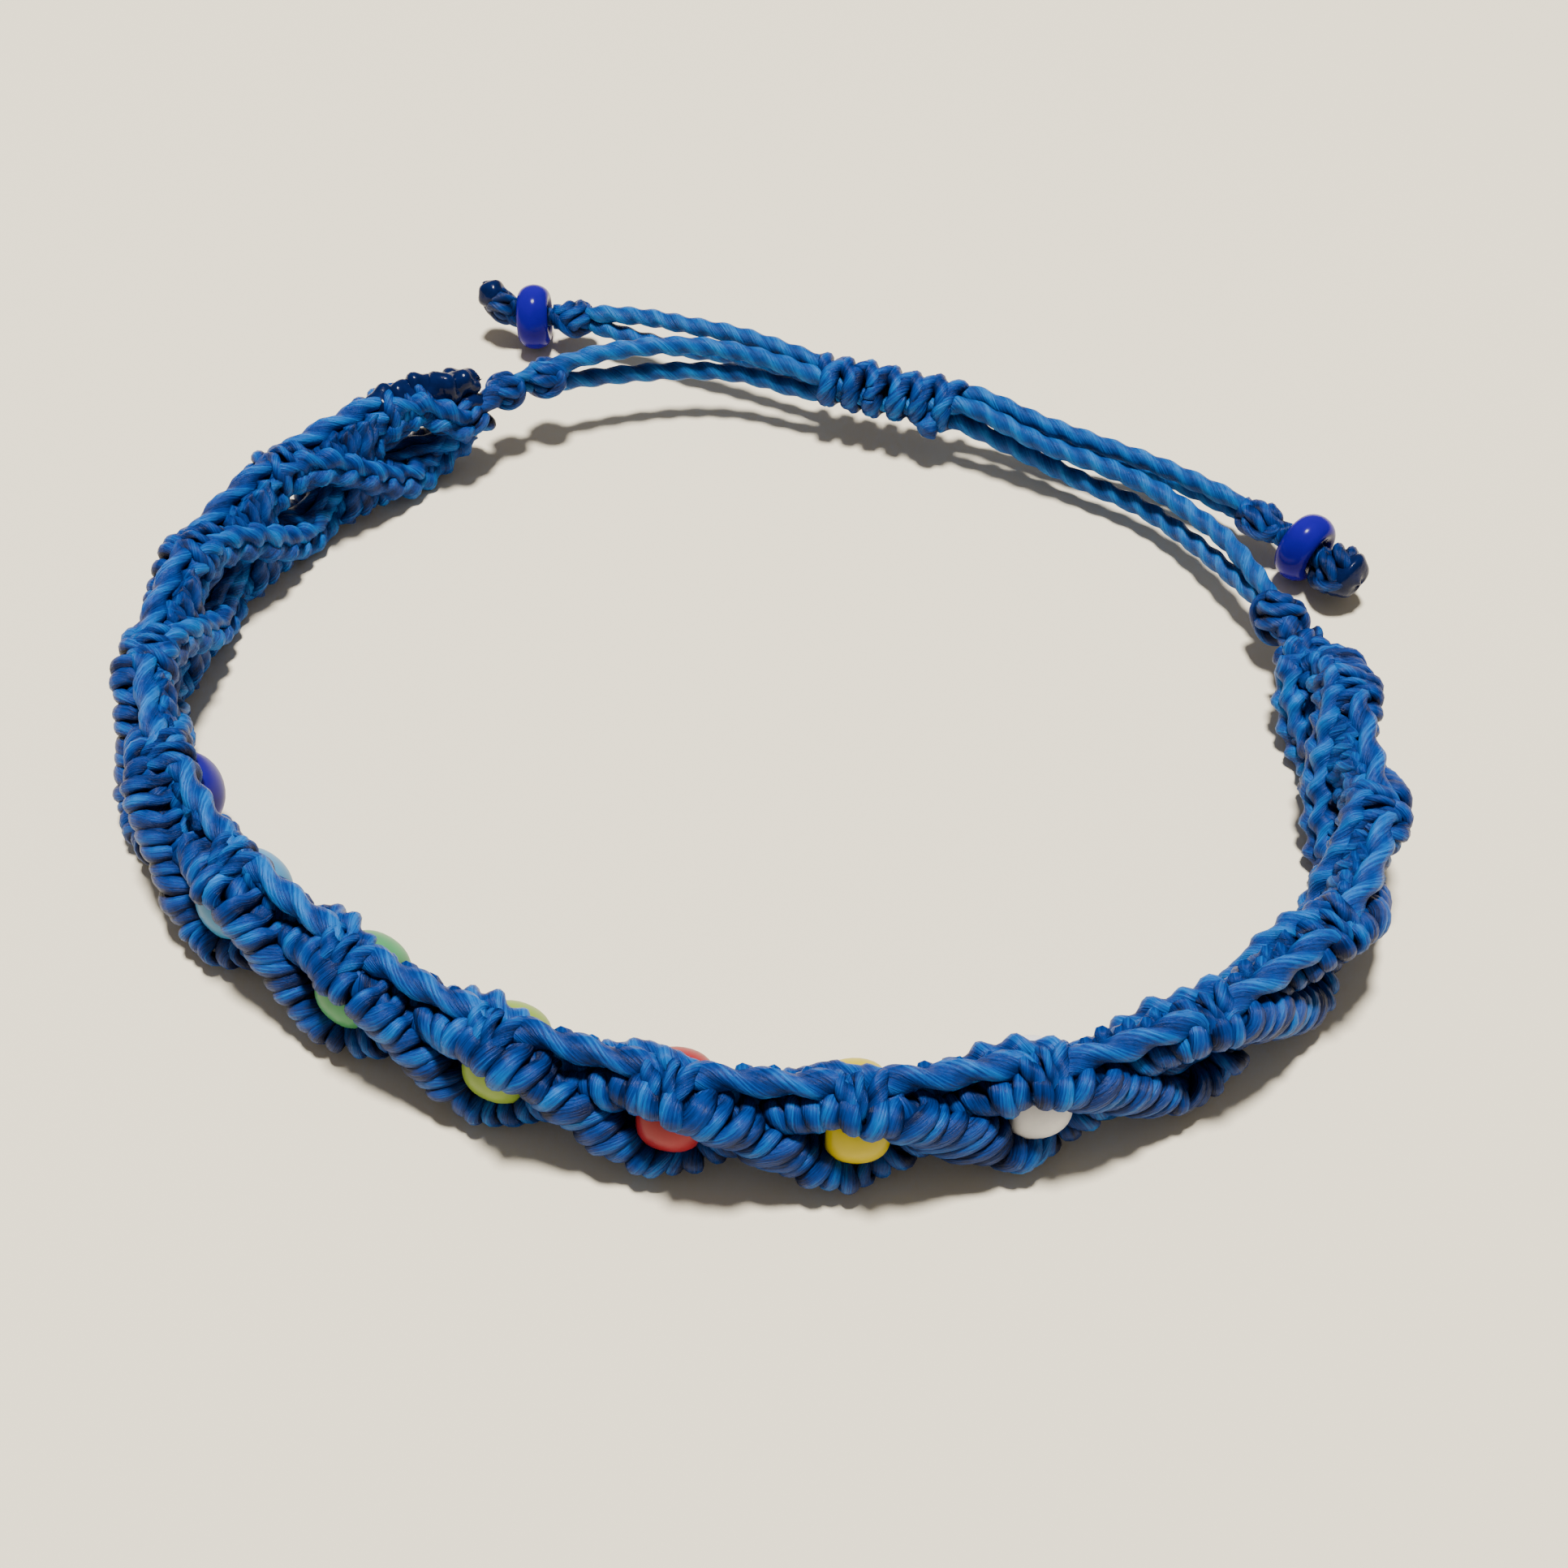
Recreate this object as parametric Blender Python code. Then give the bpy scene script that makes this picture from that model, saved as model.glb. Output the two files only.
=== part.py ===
"""Macrame bracelet of waxed cord with seven glass beads, standing on its lower rim.

Blender 4.5, metres, +Z up. The wearer's wrist goes through along Z. The front of the band, with
the beads, faces -Y, and the adjustable closure is at the back, towards +Y.
"""
from math import cos, pi, sin

import bmesh
import bpy
import numpy as np
from mathutils import Vector

# Loop: the line that the middle of the band and the closure follow, seen from above.
LOOP_WIDTH = 0.0563
LOOP_DEPTH = 0.0500
# Columns: x as a share of half the width, y as a share of half the depth.
LOOP_PLAN = [
    (0.249, 1.004),
    (-0.124, 1.060),
    (-0.451, 0.980),
    (-0.549, 0.872),
    (-0.689, 0.780),
    (-0.913, 0.464),
    (-1.000, 0.036),
    (-0.881, -0.376),
    (-0.604, -0.652),
    (-0.313, -0.826),
    (0.005, -0.910),
    (0.343, -0.880),
    (0.686, -0.728),
    (0.961, -0.408),
    (0.995, 0.036),
    (0.961, 0.284),
    (0.934, 0.388),
    (0.728, 0.736),
]
LOOP_STEPS = 60  # straight steps that the smooth line takes between two rows of the plan

# Band: two knotted ridges that cross between the beads, and a cord along each rim.
BAND_HEIGHT = 0.0062
BAND_LEAN = 0.0003  # how much further out the top rim stands than the bottom one
MOTIF_LENGTH = 0.0074  # one eye, from crossing to crossing
MOTIF_COUNT = 15
MIDDLE_SHARE = 0.4806  # where the middle bead lies, as a share of the way round the loop
RIDGE_HALF_THICKNESS = 0.00115
RIDGE_HALF_HEIGHT = 0.0009
PEAK_EXTRA_THICKNESS = 0.0003
PEAK_EXTRA_HEIGHT = 0.00025
CROSSING_OFFSET = 0.00025  # the falling ridge passes outside the rising one
END_NOSE_LEFT = 0.0008  # short tail of the two ridges past the last crossing
END_NOSE_RIGHT = 0.0026
NOSE_TIP_SHARE = 0.55  # of the ridge's section that is left at the nose's tip
REST_CUT = 0.0002  # depth of the flat that the lowest stitches have on the surface
RIM_SAG = 0.0002
RIDGE_SIDES = 8
RINGS_PER_MOTIF = 8
RIM_SIDES = 6
RIM_RINGS_PER_MOTIF = 2
CORD_DIAMETER = 0.0009
CLEARANCE = 0.0003  # between two pieces that touch on the real bracelet

# Beads in the band, left to right, each in the eye of its own motif. Columns: name, colour.
BEADS = [
    ("bead_cobalt", "3A1AA8"),
    ("bead_light_blue", "78AAC8"),
    ("bead_green", "6EAA73"),
    ("bead_lime", "A5BE5A"),
    ("bead_red", "C85550"),
    ("bead_yellow", "D7CD32"),
    ("bead_white", "E6E6EB"),
]
BEAD_DIAMETER = 0.0042
BEAD_LENGTH = 0.0026
BEAD_INSET = 0.0007  # the beads sit towards the wrist, behind the ridges
BEAD_DROP = 0.0002  # and hang a little under the middle of their eyes
BEAD_SIDES = 14
BEAD_PROFILE_SIDES = 8

# Melted cord ends along the band's upper rim at its left end.
MELT_LENGTH = 0.0042
MELT_THICKNESS = 0.0018
MELT_BACK = 0.0024  # middle of the melt, measured back from the band's left tip
MELT_DROP = 0.0011  # middle of the melt, below the top rim
MELT_SIDES = 10
MELT_ROWS = 7
MELT_TIP_SHARE = 0.96  # how far towards a point the melt closes at its ends
MELT_LUMP = 0.12
MELT_LUMP_COUNT = 2.5  # half waves of swelling on each side of the melt's middle

# Overhand knots at the ends of the band.
END_KNOT_LENGTH = 0.0026
END_KNOT_DIAMETER = 0.0024
END_KNOT_LEFT_HEIGHT = 0.0039
END_KNOT_RIGHT_HEIGHT = 0.0027

# Every overhand knot is a body of rings whose radius rises and falls three times round.
KNOT_SIDES = 12
KNOT_ROWS = 7
KNOT_LUMP = 0.10
KNOT_TIP_SHARE = 0.92  # how far towards a point the knot closes at its flat ends
KNOT_TWIST = 2.4  # radians that the lumps wind from the knot's middle to its end
SQUARENESS = 2.5  # 2 would close a knot or melt like an ellipse, more leaves it fuller
SHARP_ANGLE = 0.9  # radians between two faces, past which their edge isn't smoothed

# Sliding knot: square knots tied round the four closure cords.
SLIDE_LENGTH = 0.0084
SLIDE_DIAMETER = 0.0025
SLIDE_WAIST = 0.82  # share of the diameter between two of its square knots
SLIDE_KNOTS = 6
SLIDE_CENTRE = (0.0069, 0.0251, 0.0032)
SLIDE_BEARING = -15.5  # degrees from +X
SLIDE_NUB_DIAMETER = 0.0015
SLIDE_NUB_SHARE = 0.83  # of the way along the knot
SLIDE_NUB_DROP = 0.6  # the nub leans down by this share of its reach to the near side
SLIDE_NUB_STAND = 0.3  # share of the nub's diameter between the knot's face and its middle
SLIDE_SIDES = 12

# Tails. Each starts at a face of its knot and runs out through a bead to a melted end knot.
TAIL_KNOT_DIAMETER = 0.0020
TAIL_BEAD_DIAMETER = 0.0037
TAIL_BEAD_LENGTH = 0.0017
TAIL_THREAD_DIAMETER = 0.0012
TAIL_THREAD_FOOT = 0.0001  # the thread keeps its width up to here before its end knot
TAIL_TURN = 3.0  # the end knot has taken its own bearing after one part in this many
# Columns: side, start, bearing of the tail in degrees, its slope, knot length, end knot's
# bearing, slope, length and diameter.
TAILS = [
    ("left", (-0.0105, 0.0328, 0.0021), 181.0, -2.0, 0.0024, 150.0, 32.0, 0.0027, 0.0017),
    ("right", (0.0260, 0.0177, 0.0021), -44.0, -2.0, 0.0032, -47.0, -3.0, 0.0025, 0.0025),
]

# Free points of the eight closure cords, from the sliding knot outwards, chosen by hand.
# The cords in the far pair run to the tails and those in the near pair to the end knots.
CORD_ROUTES = {
    "tail_cord_left_upper": [
        (-0.0016, 0.0289, 0.0039),
        (-0.0048, 0.0302, 0.0036),
        (-0.0072, 0.0315, 0.0031),
    ],
    "tail_cord_left_lower": [
        (-0.0016, 0.0287, 0.0026),
        (-0.0048, 0.0298, 0.0022),
        (-0.0073, 0.0310, 0.0018),
    ],
    "draw_cord_left_upper": [
        (-0.0016, 0.0269, 0.0042),
        (-0.0046, 0.0269, 0.0045),
        (-0.0089, 0.0257, 0.0047),
    ],
    "draw_cord_left_lower": [
        (-0.0016, 0.0268, 0.0028),
        (-0.0050, 0.0267, 0.0029),
        (-0.0092, 0.0256, 0.0031),
    ],
    "tail_cord_right_upper": [
        (0.0153, 0.0226, 0.0034),
        (0.0187, 0.0212, 0.0031),
        (0.0213, 0.0201, 0.0029),
        (0.0236, 0.0189, 0.0027),
    ],
    "tail_cord_right_lower": [
        (0.0153, 0.0232, 0.0021),
        (0.0187, 0.0220, 0.0018),
        (0.0213, 0.0210, 0.0016),
        (0.0236, 0.0199, 0.0015),
    ],
    "draw_cord_right_upper": [
        (0.0153, 0.0212, 0.0031),
        (0.0187, 0.0196, 0.0029),
        (0.0212, 0.0179, 0.0029),
        (0.0231, 0.0159, 0.0029),
        (0.0246, 0.0136, 0.0031),
    ],
    "draw_cord_right_lower": [
        (0.0143, 0.0220, 0.0019),
        (0.0176, 0.0201, 0.0015),
        (0.0208, 0.0181, 0.0014),
        (0.0231, 0.0155, 0.0015),
    ],
}
CORD_STEP = 2.5  # diameters between the points of a cord's tube
TAIL_PORT_LEAN = 0.5  # the upper of two tail cords lies this share of its lift nearer the front

# Linear colours are worked out from these: name, sRGB hex, roughness.
CORD_BLUE = ("waxed_cord_blue", "1B5FA8", 0.55)
MELT_NAVY = ("melted_cord_navy", "14285A", 0.30)
TAIL_GLASS = ("glass_ultramarine", "2A08C8", 0.15)
BEAD_ROUGHNESS = 0.40

UP = Vector((0.0, 0.0, 1.0))
MID_HEIGHT = (BAND_HEIGHT - REST_CUT) / 2
PEAK_HALF_HEIGHT = RIDGE_HALF_HEIGHT + PEAK_EXTRA_HEIGHT
RIDGE_SWING = (BAND_HEIGHT + REST_CUT) / 2 - PEAK_HALF_HEIGHT
HALF_BAND = MOTIF_COUNT * MOTIF_LENGTH / 2
END_NOSE = {"left": END_NOSE_LEFT, "right": END_NOSE_RIGHT}
BEAD_BORE = CORD_DIAMETER + 2 * CLEARANCE


def linear(hex_colour):
    """sRGB hex to linear red, green, blue and alpha."""
    shares = [int(hex_colour[i : i + 2], 16) / 255 for i in (0, 2, 4)]
    low = [c / 12.92 if c <= 0.04045 else ((c + 0.055) / 1.055) ** 2.4 for c in shares]
    return (*low, 1.0)


def material(name, hex_colour, roughness):
    made = bpy.data.materials.new(name)
    made.use_nodes = True
    shader = made.node_tree.nodes["Principled BSDF"]
    shader.inputs["Base Color"].default_value = linear(hex_colour)
    shader.inputs["Roughness"].default_value = roughness
    shader.inputs["Metallic"].default_value = 0.0
    return made


def smooth_line(points, closed):
    """Points along a centripetal Catmull-Rom curve through the given ones, closely spaced."""
    p = np.array(points, float)
    if closed:
        p = np.vstack([p[-1:], p, p[:2]])
    else:
        p = np.vstack([2 * p[:1] - p[1:2], p, 2 * p[-1:] - p[-2:-1]])
    line = []
    for a, b, c, d in zip(p, p[1:], p[2:], p[3:]):
        knots = [0.0]
        for start, stop in ((a, b), (b, c), (c, d)):
            knots.append(knots[-1] + np.sqrt(np.linalg.norm(stop - start)))
        t0, t1, t2, t3 = knots
        t = np.linspace(t1, t2, LOOP_STEPS, endpoint=False)[:, None]
        ab = (t1 - t) / (t1 - t0) * a + (t - t0) / (t1 - t0) * b
        bc = (t2 - t) / (t2 - t1) * b + (t - t1) / (t2 - t1) * c
        cd = (t3 - t) / (t3 - t2) * c + (t - t2) / (t3 - t2) * d
        abc = (t2 - t) / (t2 - t0) * ab + (t - t0) / (t2 - t0) * bc
        bcd = (t3 - t) / (t3 - t1) * bc + (t - t1) / (t3 - t1) * cd
        line.append((t2 - t) / (t2 - t1) * abc + (t - t1) / (t2 - t1) * bcd)
    if not closed:
        line.append(p[-2:-1])
    return np.vstack(line)


def lengths_along(line):
    return np.concatenate([[0.0], np.cumsum(np.linalg.norm(np.diff(line, axis=0), axis=1))])


PLAN_LINE = smooth_line(
    [(x * LOOP_WIDTH / 2, y * LOOP_DEPTH / 2) for x, y in LOOP_PLAN], closed=True
)
PLAN_LINE = np.vstack([PLAN_LINE, PLAN_LINE[:1]])
PLAN_LENGTHS = lengths_along(PLAN_LINE)
LOOP_LENGTH = PLAN_LENGTHS[-1]


def on_loop(along):
    """Point on the loop's line and the outward direction, at a distance from the middle bead."""
    s = (MIDDLE_SHARE * LOOP_LENGTH + along) % LOOP_LENGTH
    place = [np.interp(s, PLAN_LENGTHS, PLAN_LINE[:, k]) for k in (0, 1)]
    i = int(np.clip(np.searchsorted(PLAN_LENGTHS, s), 1, len(PLAN_LINE) - 1))
    step = PLAN_LINE[i] - PLAN_LINE[i - 1]
    step /= np.linalg.norm(step)
    return Vector((*place, 0.0)), Vector((step[1], -step[0], 0.0))


def in_band(along, height, outward=0.0):
    """World point at a distance along the band, a height and an offset from the loop's line."""
    point, out = on_loop(along)
    lean = BAND_LEAN * (height - MID_HEIGHT) / BAND_HEIGHT
    return point + out * (outward + lean) + UP * height, out


def add_mesh(name, verts, faces, look):
    mesh = bpy.data.meshes.new(name)
    mesh.from_pydata([tuple(v) for v in verts], [], faces)
    mesh.validate()
    made = bpy.data.objects.new(name, mesh)
    bpy.context.scene.collection.objects.link(made)
    mesh.materials.append(look)
    mesh.shade_smooth()
    mesh.set_sharp_from_angle(angle=SHARP_ANGLE)
    return made


def skin(name, rings, look):
    """One closed body over a row of rings with the same number of points."""
    sides = len(rings[0])
    verts = [v for ring in rings for v in ring]
    faces = []
    for r in range(len(rings) - 1):
        for k in range(sides):
            after = (k + 1) % sides
            low, high = r * sides, (r + 1) * sides
            faces.append((low + k, low + after, high + after, high + k))
    faces.append(tuple(reversed(range(sides))))
    faces.append(tuple(range(len(verts) - sides, len(verts))))
    made = add_mesh(name, verts, faces, look)
    shape = bmesh.new()
    shape.from_mesh(made.data)
    bmesh.ops.recalc_face_normals(shape, faces=shape.faces)
    shape.to_mesh(made.data)
    shape.free()
    return made


def band_tube(name, stations, sides, look):
    """Tube along the band. A station is (along, height, outward, half thickness, half height)."""
    centres = [in_band(along, height, outward) for along, height, outward, _, _ in stations]
    rings = []
    flats = 1 / cos(pi / sides)
    for i, (_, _, _, half_thickness, half_height) in enumerate(stations):
        here, out = centres[i]
        before = centres[max(i - 1, 0)][0]
        after = centres[min(i + 1, len(centres) - 1)][0]
        forward = (after - before).normalized()
        rise = forward.cross(out).normalized()
        side = rise.cross(forward).normalized()
        ring = []
        for k in range(sides):
            turn = 2 * pi * (k + 0.5) / sides
            point = here + side * (half_thickness * flats * cos(turn))
            point = point + rise * (half_height * flats * sin(turn))
            ring.append(point)
        rings.append(ring)
    return skin(name, rings, look)


def ridge_stations(sign):
    """Stations of one ridge: a wave that peaks over every second bead."""
    stations = []
    count = MOTIF_COUNT * RINGS_PER_MOTIF
    for i in range(count + 1):
        along = -HALF_BAND + 2 * HALF_BAND * i / count
        phase = pi * along / MOTIF_LENGTH
        swell = cos(phase) ** 2
        height = MID_HEIGHT + sign * RIDGE_SWING * cos(phase)
        outward = sign * CROSSING_OFFSET * sin(phase)
        thickness = RIDGE_HALF_THICKNESS + PEAK_EXTRA_THICKNESS * swell
        stations.append(
            (along, height, outward, thickness, RIDGE_HALF_HEIGHT + PEAK_EXTRA_HEIGHT * swell)
        )
    for side, turn in (("left", -1), ("right", 1)):
        row = stations[0] if side == "left" else stations[-1]
        for share in (0.5, 1.0):
            keep = 1 - (1 - NOSE_TIP_SHARE) * share
            along = row[0] + turn * END_NOSE[side] * share
            nose = (along, MID_HEIGHT, row[2] * (1 - share), row[3] * keep, row[4] * keep)
            stations.insert(0 if side == "left" else len(stations), nose)
    return stations


def rim_stations(top):
    """Stations of the cord that runs along one rim, from the first peak to the last."""
    radius = CORD_DIAMETER / 2
    reach = (MOTIF_COUNT - 1) * MOTIF_LENGTH / 2
    count = (MOTIF_COUNT - 1) * RIM_RINGS_PER_MOTIF
    stations = []
    for i in range(count + 1):
        along = -reach + 2 * reach * i / count
        sag = RIM_SAG * sin(pi * along / MOTIF_LENGTH) ** 2
        inset = radius + REST_CUT / 2 + sag
        height = BAND_HEIGHT - inset if top else inset
        stations.append((along, height, 0.0, radius, radius))
    return stations


def thread_stations():
    """Stations of the thread that carries the beads through the middle motifs."""
    radius = CORD_DIAMETER / 2
    flat = BEAD_LENGTH / 2 + CLEARANCE
    first = -(len(BEADS) // 2)
    stations = [((first - 0.5) * MOTIF_LENGTH, MID_HEIGHT, 0.0, radius, radius)]
    for i in range(len(BEADS)):
        middle = (first + i) * MOTIF_LENGTH
        for shift in (-flat, 0.0, flat):
            stations.append((middle + shift, MID_HEIGHT - BEAD_DROP, -BEAD_INSET, radius, radius))
        stations.append((middle + MOTIF_LENGTH / 2, MID_HEIGHT, 0.0, radius, radius))
    return stations


def aim(made, place, direction):
    """Put an object's origin at a place and its own Z along a direction."""
    made.location = place
    made.rotation_euler = Vector(direction).to_track_quat("Z", "Y").to_euler()


def bead(name, diameter, length, bore, look):
    """A drilled glass bead, round in section between its bore and its rim."""
    outer, inner = diameter / 2, bore / 2
    bpy.ops.mesh.primitive_torus_add(
        major_segments=BEAD_SIDES,
        minor_segments=BEAD_PROFILE_SIDES,
        major_radius=(outer + inner) / 2,
        minor_radius=(outer - inner) / 2,
    )
    made = bpy.context.object
    made.name = name
    made.data.name = name
    stretch = length / (outer - inner)
    for vertex in made.data.vertices:
        vertex.co.z *= stretch
    made.data.materials.append(look)
    made.data.shade_smooth()
    return made


def knot_body(name, length, diameter, look):
    """A tied overhand knot as one lumpy body along its own Z."""
    rings = []
    for r in range(KNOT_ROWS):
        share = KNOT_TIP_SHARE * (2 * r / (KNOT_ROWS - 1) - 1)
        bulge = diameter / 2 / (1 + KNOT_LUMP) * (1 - abs(share) ** SQUARENESS) ** 0.5
        ring = []
        for k in range(KNOT_SIDES):
            turn = 2 * pi * k / KNOT_SIDES
            radius = bulge * (1 + KNOT_LUMP * cos(3 * turn + KNOT_TWIST * share))
            height = share / KNOT_TIP_SHARE * length / 2
            ring.append(Vector((radius * cos(turn), radius * sin(turn), height)))
        rings.append(ring)
    return skin(name, rings, look)


def guide(made):
    """Mark a helper: it shapes another piece and is no piece itself."""
    made.hide_render = True
    made.display_type = "WIRE"
    return made


def boolean(target, operation, tool):
    step = target.modifiers.new(operation.lower(), "BOOLEAN")
    step.operation = operation
    step.solver = "EXACT"
    step.object = tool


def bead_places():
    first = -(len(BEADS) // 2)
    for i, (name, colour) in enumerate(BEADS):
        along = (first + i) * MOTIF_LENGTH
        place, out = in_band(along, MID_HEIGHT - BEAD_DROP, -BEAD_INSET)
        yield name, colour, place, UP.cross(out)


def melted_lump(look):
    """The cut ends that were melted together along the upper rim of the band's left end."""
    length, thick = MELT_LENGTH / 2, MELT_THICKNESS / 2
    middle = -HALF_BAND - END_NOSE["left"] + MELT_BACK
    rings = []
    for r in range(MELT_ROWS):
        share = MELT_TIP_SHARE * (2 * r / (MELT_ROWS - 1) - 1)
        swell = 1 + MELT_LUMP * cos(MELT_LUMP_COUNT * pi * share)
        size = thick * (1 - abs(share) ** SQUARENESS) ** 0.5 * swell
        centre, out = in_band(middle + share * length, BAND_HEIGHT - MELT_DROP, CROSSING_OFFSET)
        ring = []
        for k in range(MELT_SIDES):
            turn = 2 * pi * k / MELT_SIDES
            ring.append(centre + out * (size * cos(turn)) + UP * (size * sin(turn)))
        rings.append(ring)
    return skin("melt_guide", rings, look)


def surface_cutter():
    """Block under the surface, wider than the bracelet. It gives the lowest stitches flats."""
    spread = 1.5
    bpy.ops.mesh.primitive_cube_add(size=1.0)
    made = bpy.context.object
    made.name = "surface_guide"
    for vertex in made.data.vertices:
        vertex.co.x *= spread * LOOP_WIDTH
        vertex.co.y *= spread * LOOP_DEPTH
        vertex.co.z = (vertex.co.z - 0.5) * BAND_HEIGHT
    return made


def build_band(look):
    band = band_tube("macrame_band", ridge_stations(1), RIDGE_SIDES, look)
    second = band_tube("ridge_guide", ridge_stations(-1), RIDGE_SIDES, look)
    upper = band_tube("upper_rim_guide", rim_stations(True), RIM_SIDES, look)
    lower = band_tube("lower_rim_guide", rim_stations(False), RIM_SIDES, look)
    for tool in (second, upper, lower, melted_lump(look)):
        boolean(band, "UNION", guide(tool))
    grow = 2 * CLEARANCE
    for name, _, place, along in bead_places():
        pocket = bead(
            name + "_pocket", BEAD_DIAMETER + grow, BEAD_LENGTH + grow, BEAD_BORE - grow, look
        )
        aim(pocket, place, along)
        boolean(band, "DIFFERENCE", guide(pocket))
    thread = band_tube("thread_guide", thread_stations(), RIM_SIDES, look)
    boolean(band, "UNION", guide(thread))
    boolean(band, "DIFFERENCE", guide(surface_cutter()))


def build_beads():
    for name, colour, place, along in bead_places():
        look = material(name.replace("bead", "glass"), colour, BEAD_ROUGHNESS)
        aim(bead(name, BEAD_DIAMETER, BEAD_LENGTH, BEAD_BORE, look), place, along)


def end_knot_place(side):
    """Middle of the knot at one end of the band, and the direction from the band into it."""
    sign = -1 if side == "left" else 1
    height = END_KNOT_LEFT_HEIGHT if side == "left" else END_KNOT_RIGHT_HEIGHT
    reach = HALF_BAND + END_NOSE[side] + CLEARANCE + END_KNOT_LENGTH / 2
    point, out = on_loop(sign * reach)
    return point + UP * height, UP.cross(out) * sign


def heading(bearing, slope=0.0):
    flat = cos(slope * pi / 180)
    turn = bearing * pi / 180
    return Vector((flat * cos(turn), flat * sin(turn), sin(slope * pi / 180)))


def port_spread():
    """Half the distance between the middles of two cords side by side."""
    return (CORD_DIAMETER + CLEARANCE) / 2


def slide_port(cord):
    """Where a cord meets the sliding knot: far or near pair, upper or lower cord."""
    sign = -1 if "_left_" in cord else 1
    axis = heading(SLIDE_BEARING)
    far = Vector((-axis.y, axis.x, 0.0))
    face = Vector(SLIDE_CENTRE) + axis * sign * (SLIDE_LENGTH / 2 + CLEARANCE)
    across = port_spread() if cord.startswith("tail") else -port_spread()
    lift = port_spread() if cord.endswith("upper") else -port_spread()
    return face + far * across + UP * lift


def far_port(cord):
    """Where a cord meets its tail knot or the knot at the band's end."""
    side = "left" if "_left_" in cord else "right"
    lift = port_spread() if cord.endswith("upper") else -port_spread()
    if cord.startswith("draw"):
        place, inward = end_knot_place(side)
        return place + inward * (END_KNOT_LENGTH / 2 + CLEARANCE) + UP * lift
    _, start, bearing, slope = next(row for row in TAILS if row[0] == side)[:4]
    back = -heading(bearing, slope)
    tilt = Vector((0.0, -TAIL_PORT_LEAN * lift, lift))
    return Vector(start) + back * CLEARANCE + tilt


def build_cord(name, look):
    route = [slide_port(name), *CORD_ROUTES[name], far_port(name)]
    line = smooth_line([tuple(p) for p in route], closed=False)
    along = lengths_along(line)
    count = max(2, round(along[-1] / (CORD_STEP * CORD_DIAMETER)) + 1)
    stops = np.linspace(0.0, along[-1], count)
    points = [[np.interp(s, along, line[:, k]) for k in range(3)] for s in stops]
    curve = bpy.data.curves.new(name, "CURVE")
    curve.dimensions = "3D"
    curve.bevel_depth = CORD_DIAMETER / 2
    curve.bevel_resolution = 2
    curve.use_fill_caps = True
    spline = curve.splines.new("POLY")
    spline.points.add(count - 1)
    for point, place in zip(spline.points, points):
        point.co = (*place, 1.0)
    curve.materials.append(look)
    made = bpy.data.objects.new(name, curve)
    bpy.context.scene.collection.objects.link(made)


def build_slide_knot(look):
    """A row of square knots round the cords, with the trimmed end of its cord at one side."""
    rings = []
    for i in range(2 * SLIDE_KNOTS + 1):
        size = SLIDE_DIAMETER / 2 * (SLIDE_WAIST if i % 2 == 0 else 1.0)
        height = -SLIDE_LENGTH / 2 + SLIDE_LENGTH * i / (2 * SLIDE_KNOTS)
        ring = []
        for k in range(SLIDE_SIDES):
            turn = 2 * pi * k / SLIDE_SIDES
            ring.append(Vector((size * cos(turn), size * sin(turn), height)))
        rings.append(ring)
    made = skin("slide_knot", rings, look)
    axis = heading(SLIDE_BEARING)
    aim(made, Vector(SLIDE_CENTRE), axis)
    near = Vector((axis.y, -axis.x, 0.0))
    bpy.ops.mesh.primitive_uv_sphere_add(
        segments=10, ring_count=6, radius=SLIDE_NUB_DIAMETER / 2
    )
    nub = bpy.context.object
    nub.name = "slide_nub_guide"
    reach = SLIDE_DIAMETER / 2 + SLIDE_NUB_DIAMETER * SLIDE_NUB_STAND
    nub.location = (
        Vector(SLIDE_CENTRE)
        + axis * (SLIDE_LENGTH * (SLIDE_NUB_SHARE - 0.5))
        + (near - UP * SLIDE_NUB_DROP).normalized() * reach
    )
    boolean(made, "UNION", guide(nub))


def build_tail(row, cord_look, melt_look, glass_look):
    """Knot, bead and melted end knot of one tail, stacked outwards from where it starts."""
    side, start, bearing, slope, knot_length = row[:5]
    out = heading(bearing, slope)
    place = Vector(start) + out * knot_length / 2
    aim(knot_body("tail_knot_" + side, knot_length, TAIL_KNOT_DIAMETER, cord_look), place, out)
    bore = TAIL_THREAD_DIAMETER + 2 * CLEARANCE
    place = place + out * (knot_length / 2 + CLEARANCE + TAIL_BEAD_LENGTH / 2)
    name = "tail_bead_" + side
    aim(bead(name, TAIL_BEAD_DIAMETER, TAIL_BEAD_LENGTH, bore, glass_look), place, out)
    foot = place + out * (TAIL_BEAD_LENGTH / 2 + CLEARANCE)
    build_tail_end(row, foot, out, melt_look)


def build_tail_end(row, foot, out, look):
    """Melted end knot, with the thread that runs back from its foot through the bead."""
    side, (end_bearing, end_slope, end_length, end_width) = row[0], row[5:]
    turned = heading(end_bearing, end_slope)
    thread = TAIL_THREAD_DIAMETER / 2
    stations = [
        (foot - out * (TAIL_BEAD_LENGTH + CLEARANCE), thread, out),
        (foot - out * TAIL_THREAD_FOOT, thread, out),
    ]
    for r in range(1, KNOT_ROWS):
        share = r / (KNOT_ROWS - 1) * KNOT_TIP_SHARE
        size = end_width / 2 * (1 - abs(2 * share - 1) ** SQUARENESS) ** 0.5
        turning = min(TAIL_TURN * share, 1)
        along = (out * (1 - turning) + turned * turning).normalized()
        stations.append((foot + turned * (end_length * share), size, along))
    rings = []
    for centre, radius, along in stations:
        across = along.cross(UP).normalized()
        rise = across.cross(along).normalized()
        ring = []
        for k in range(KNOT_SIDES):
            turn = 2 * pi * k / KNOT_SIDES
            ring.append(centre + across * (radius * cos(turn)) + rise * (radius * sin(turn)))
        rings.append(ring)
    skin("tail_end_knot_" + side, rings, look)


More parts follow.
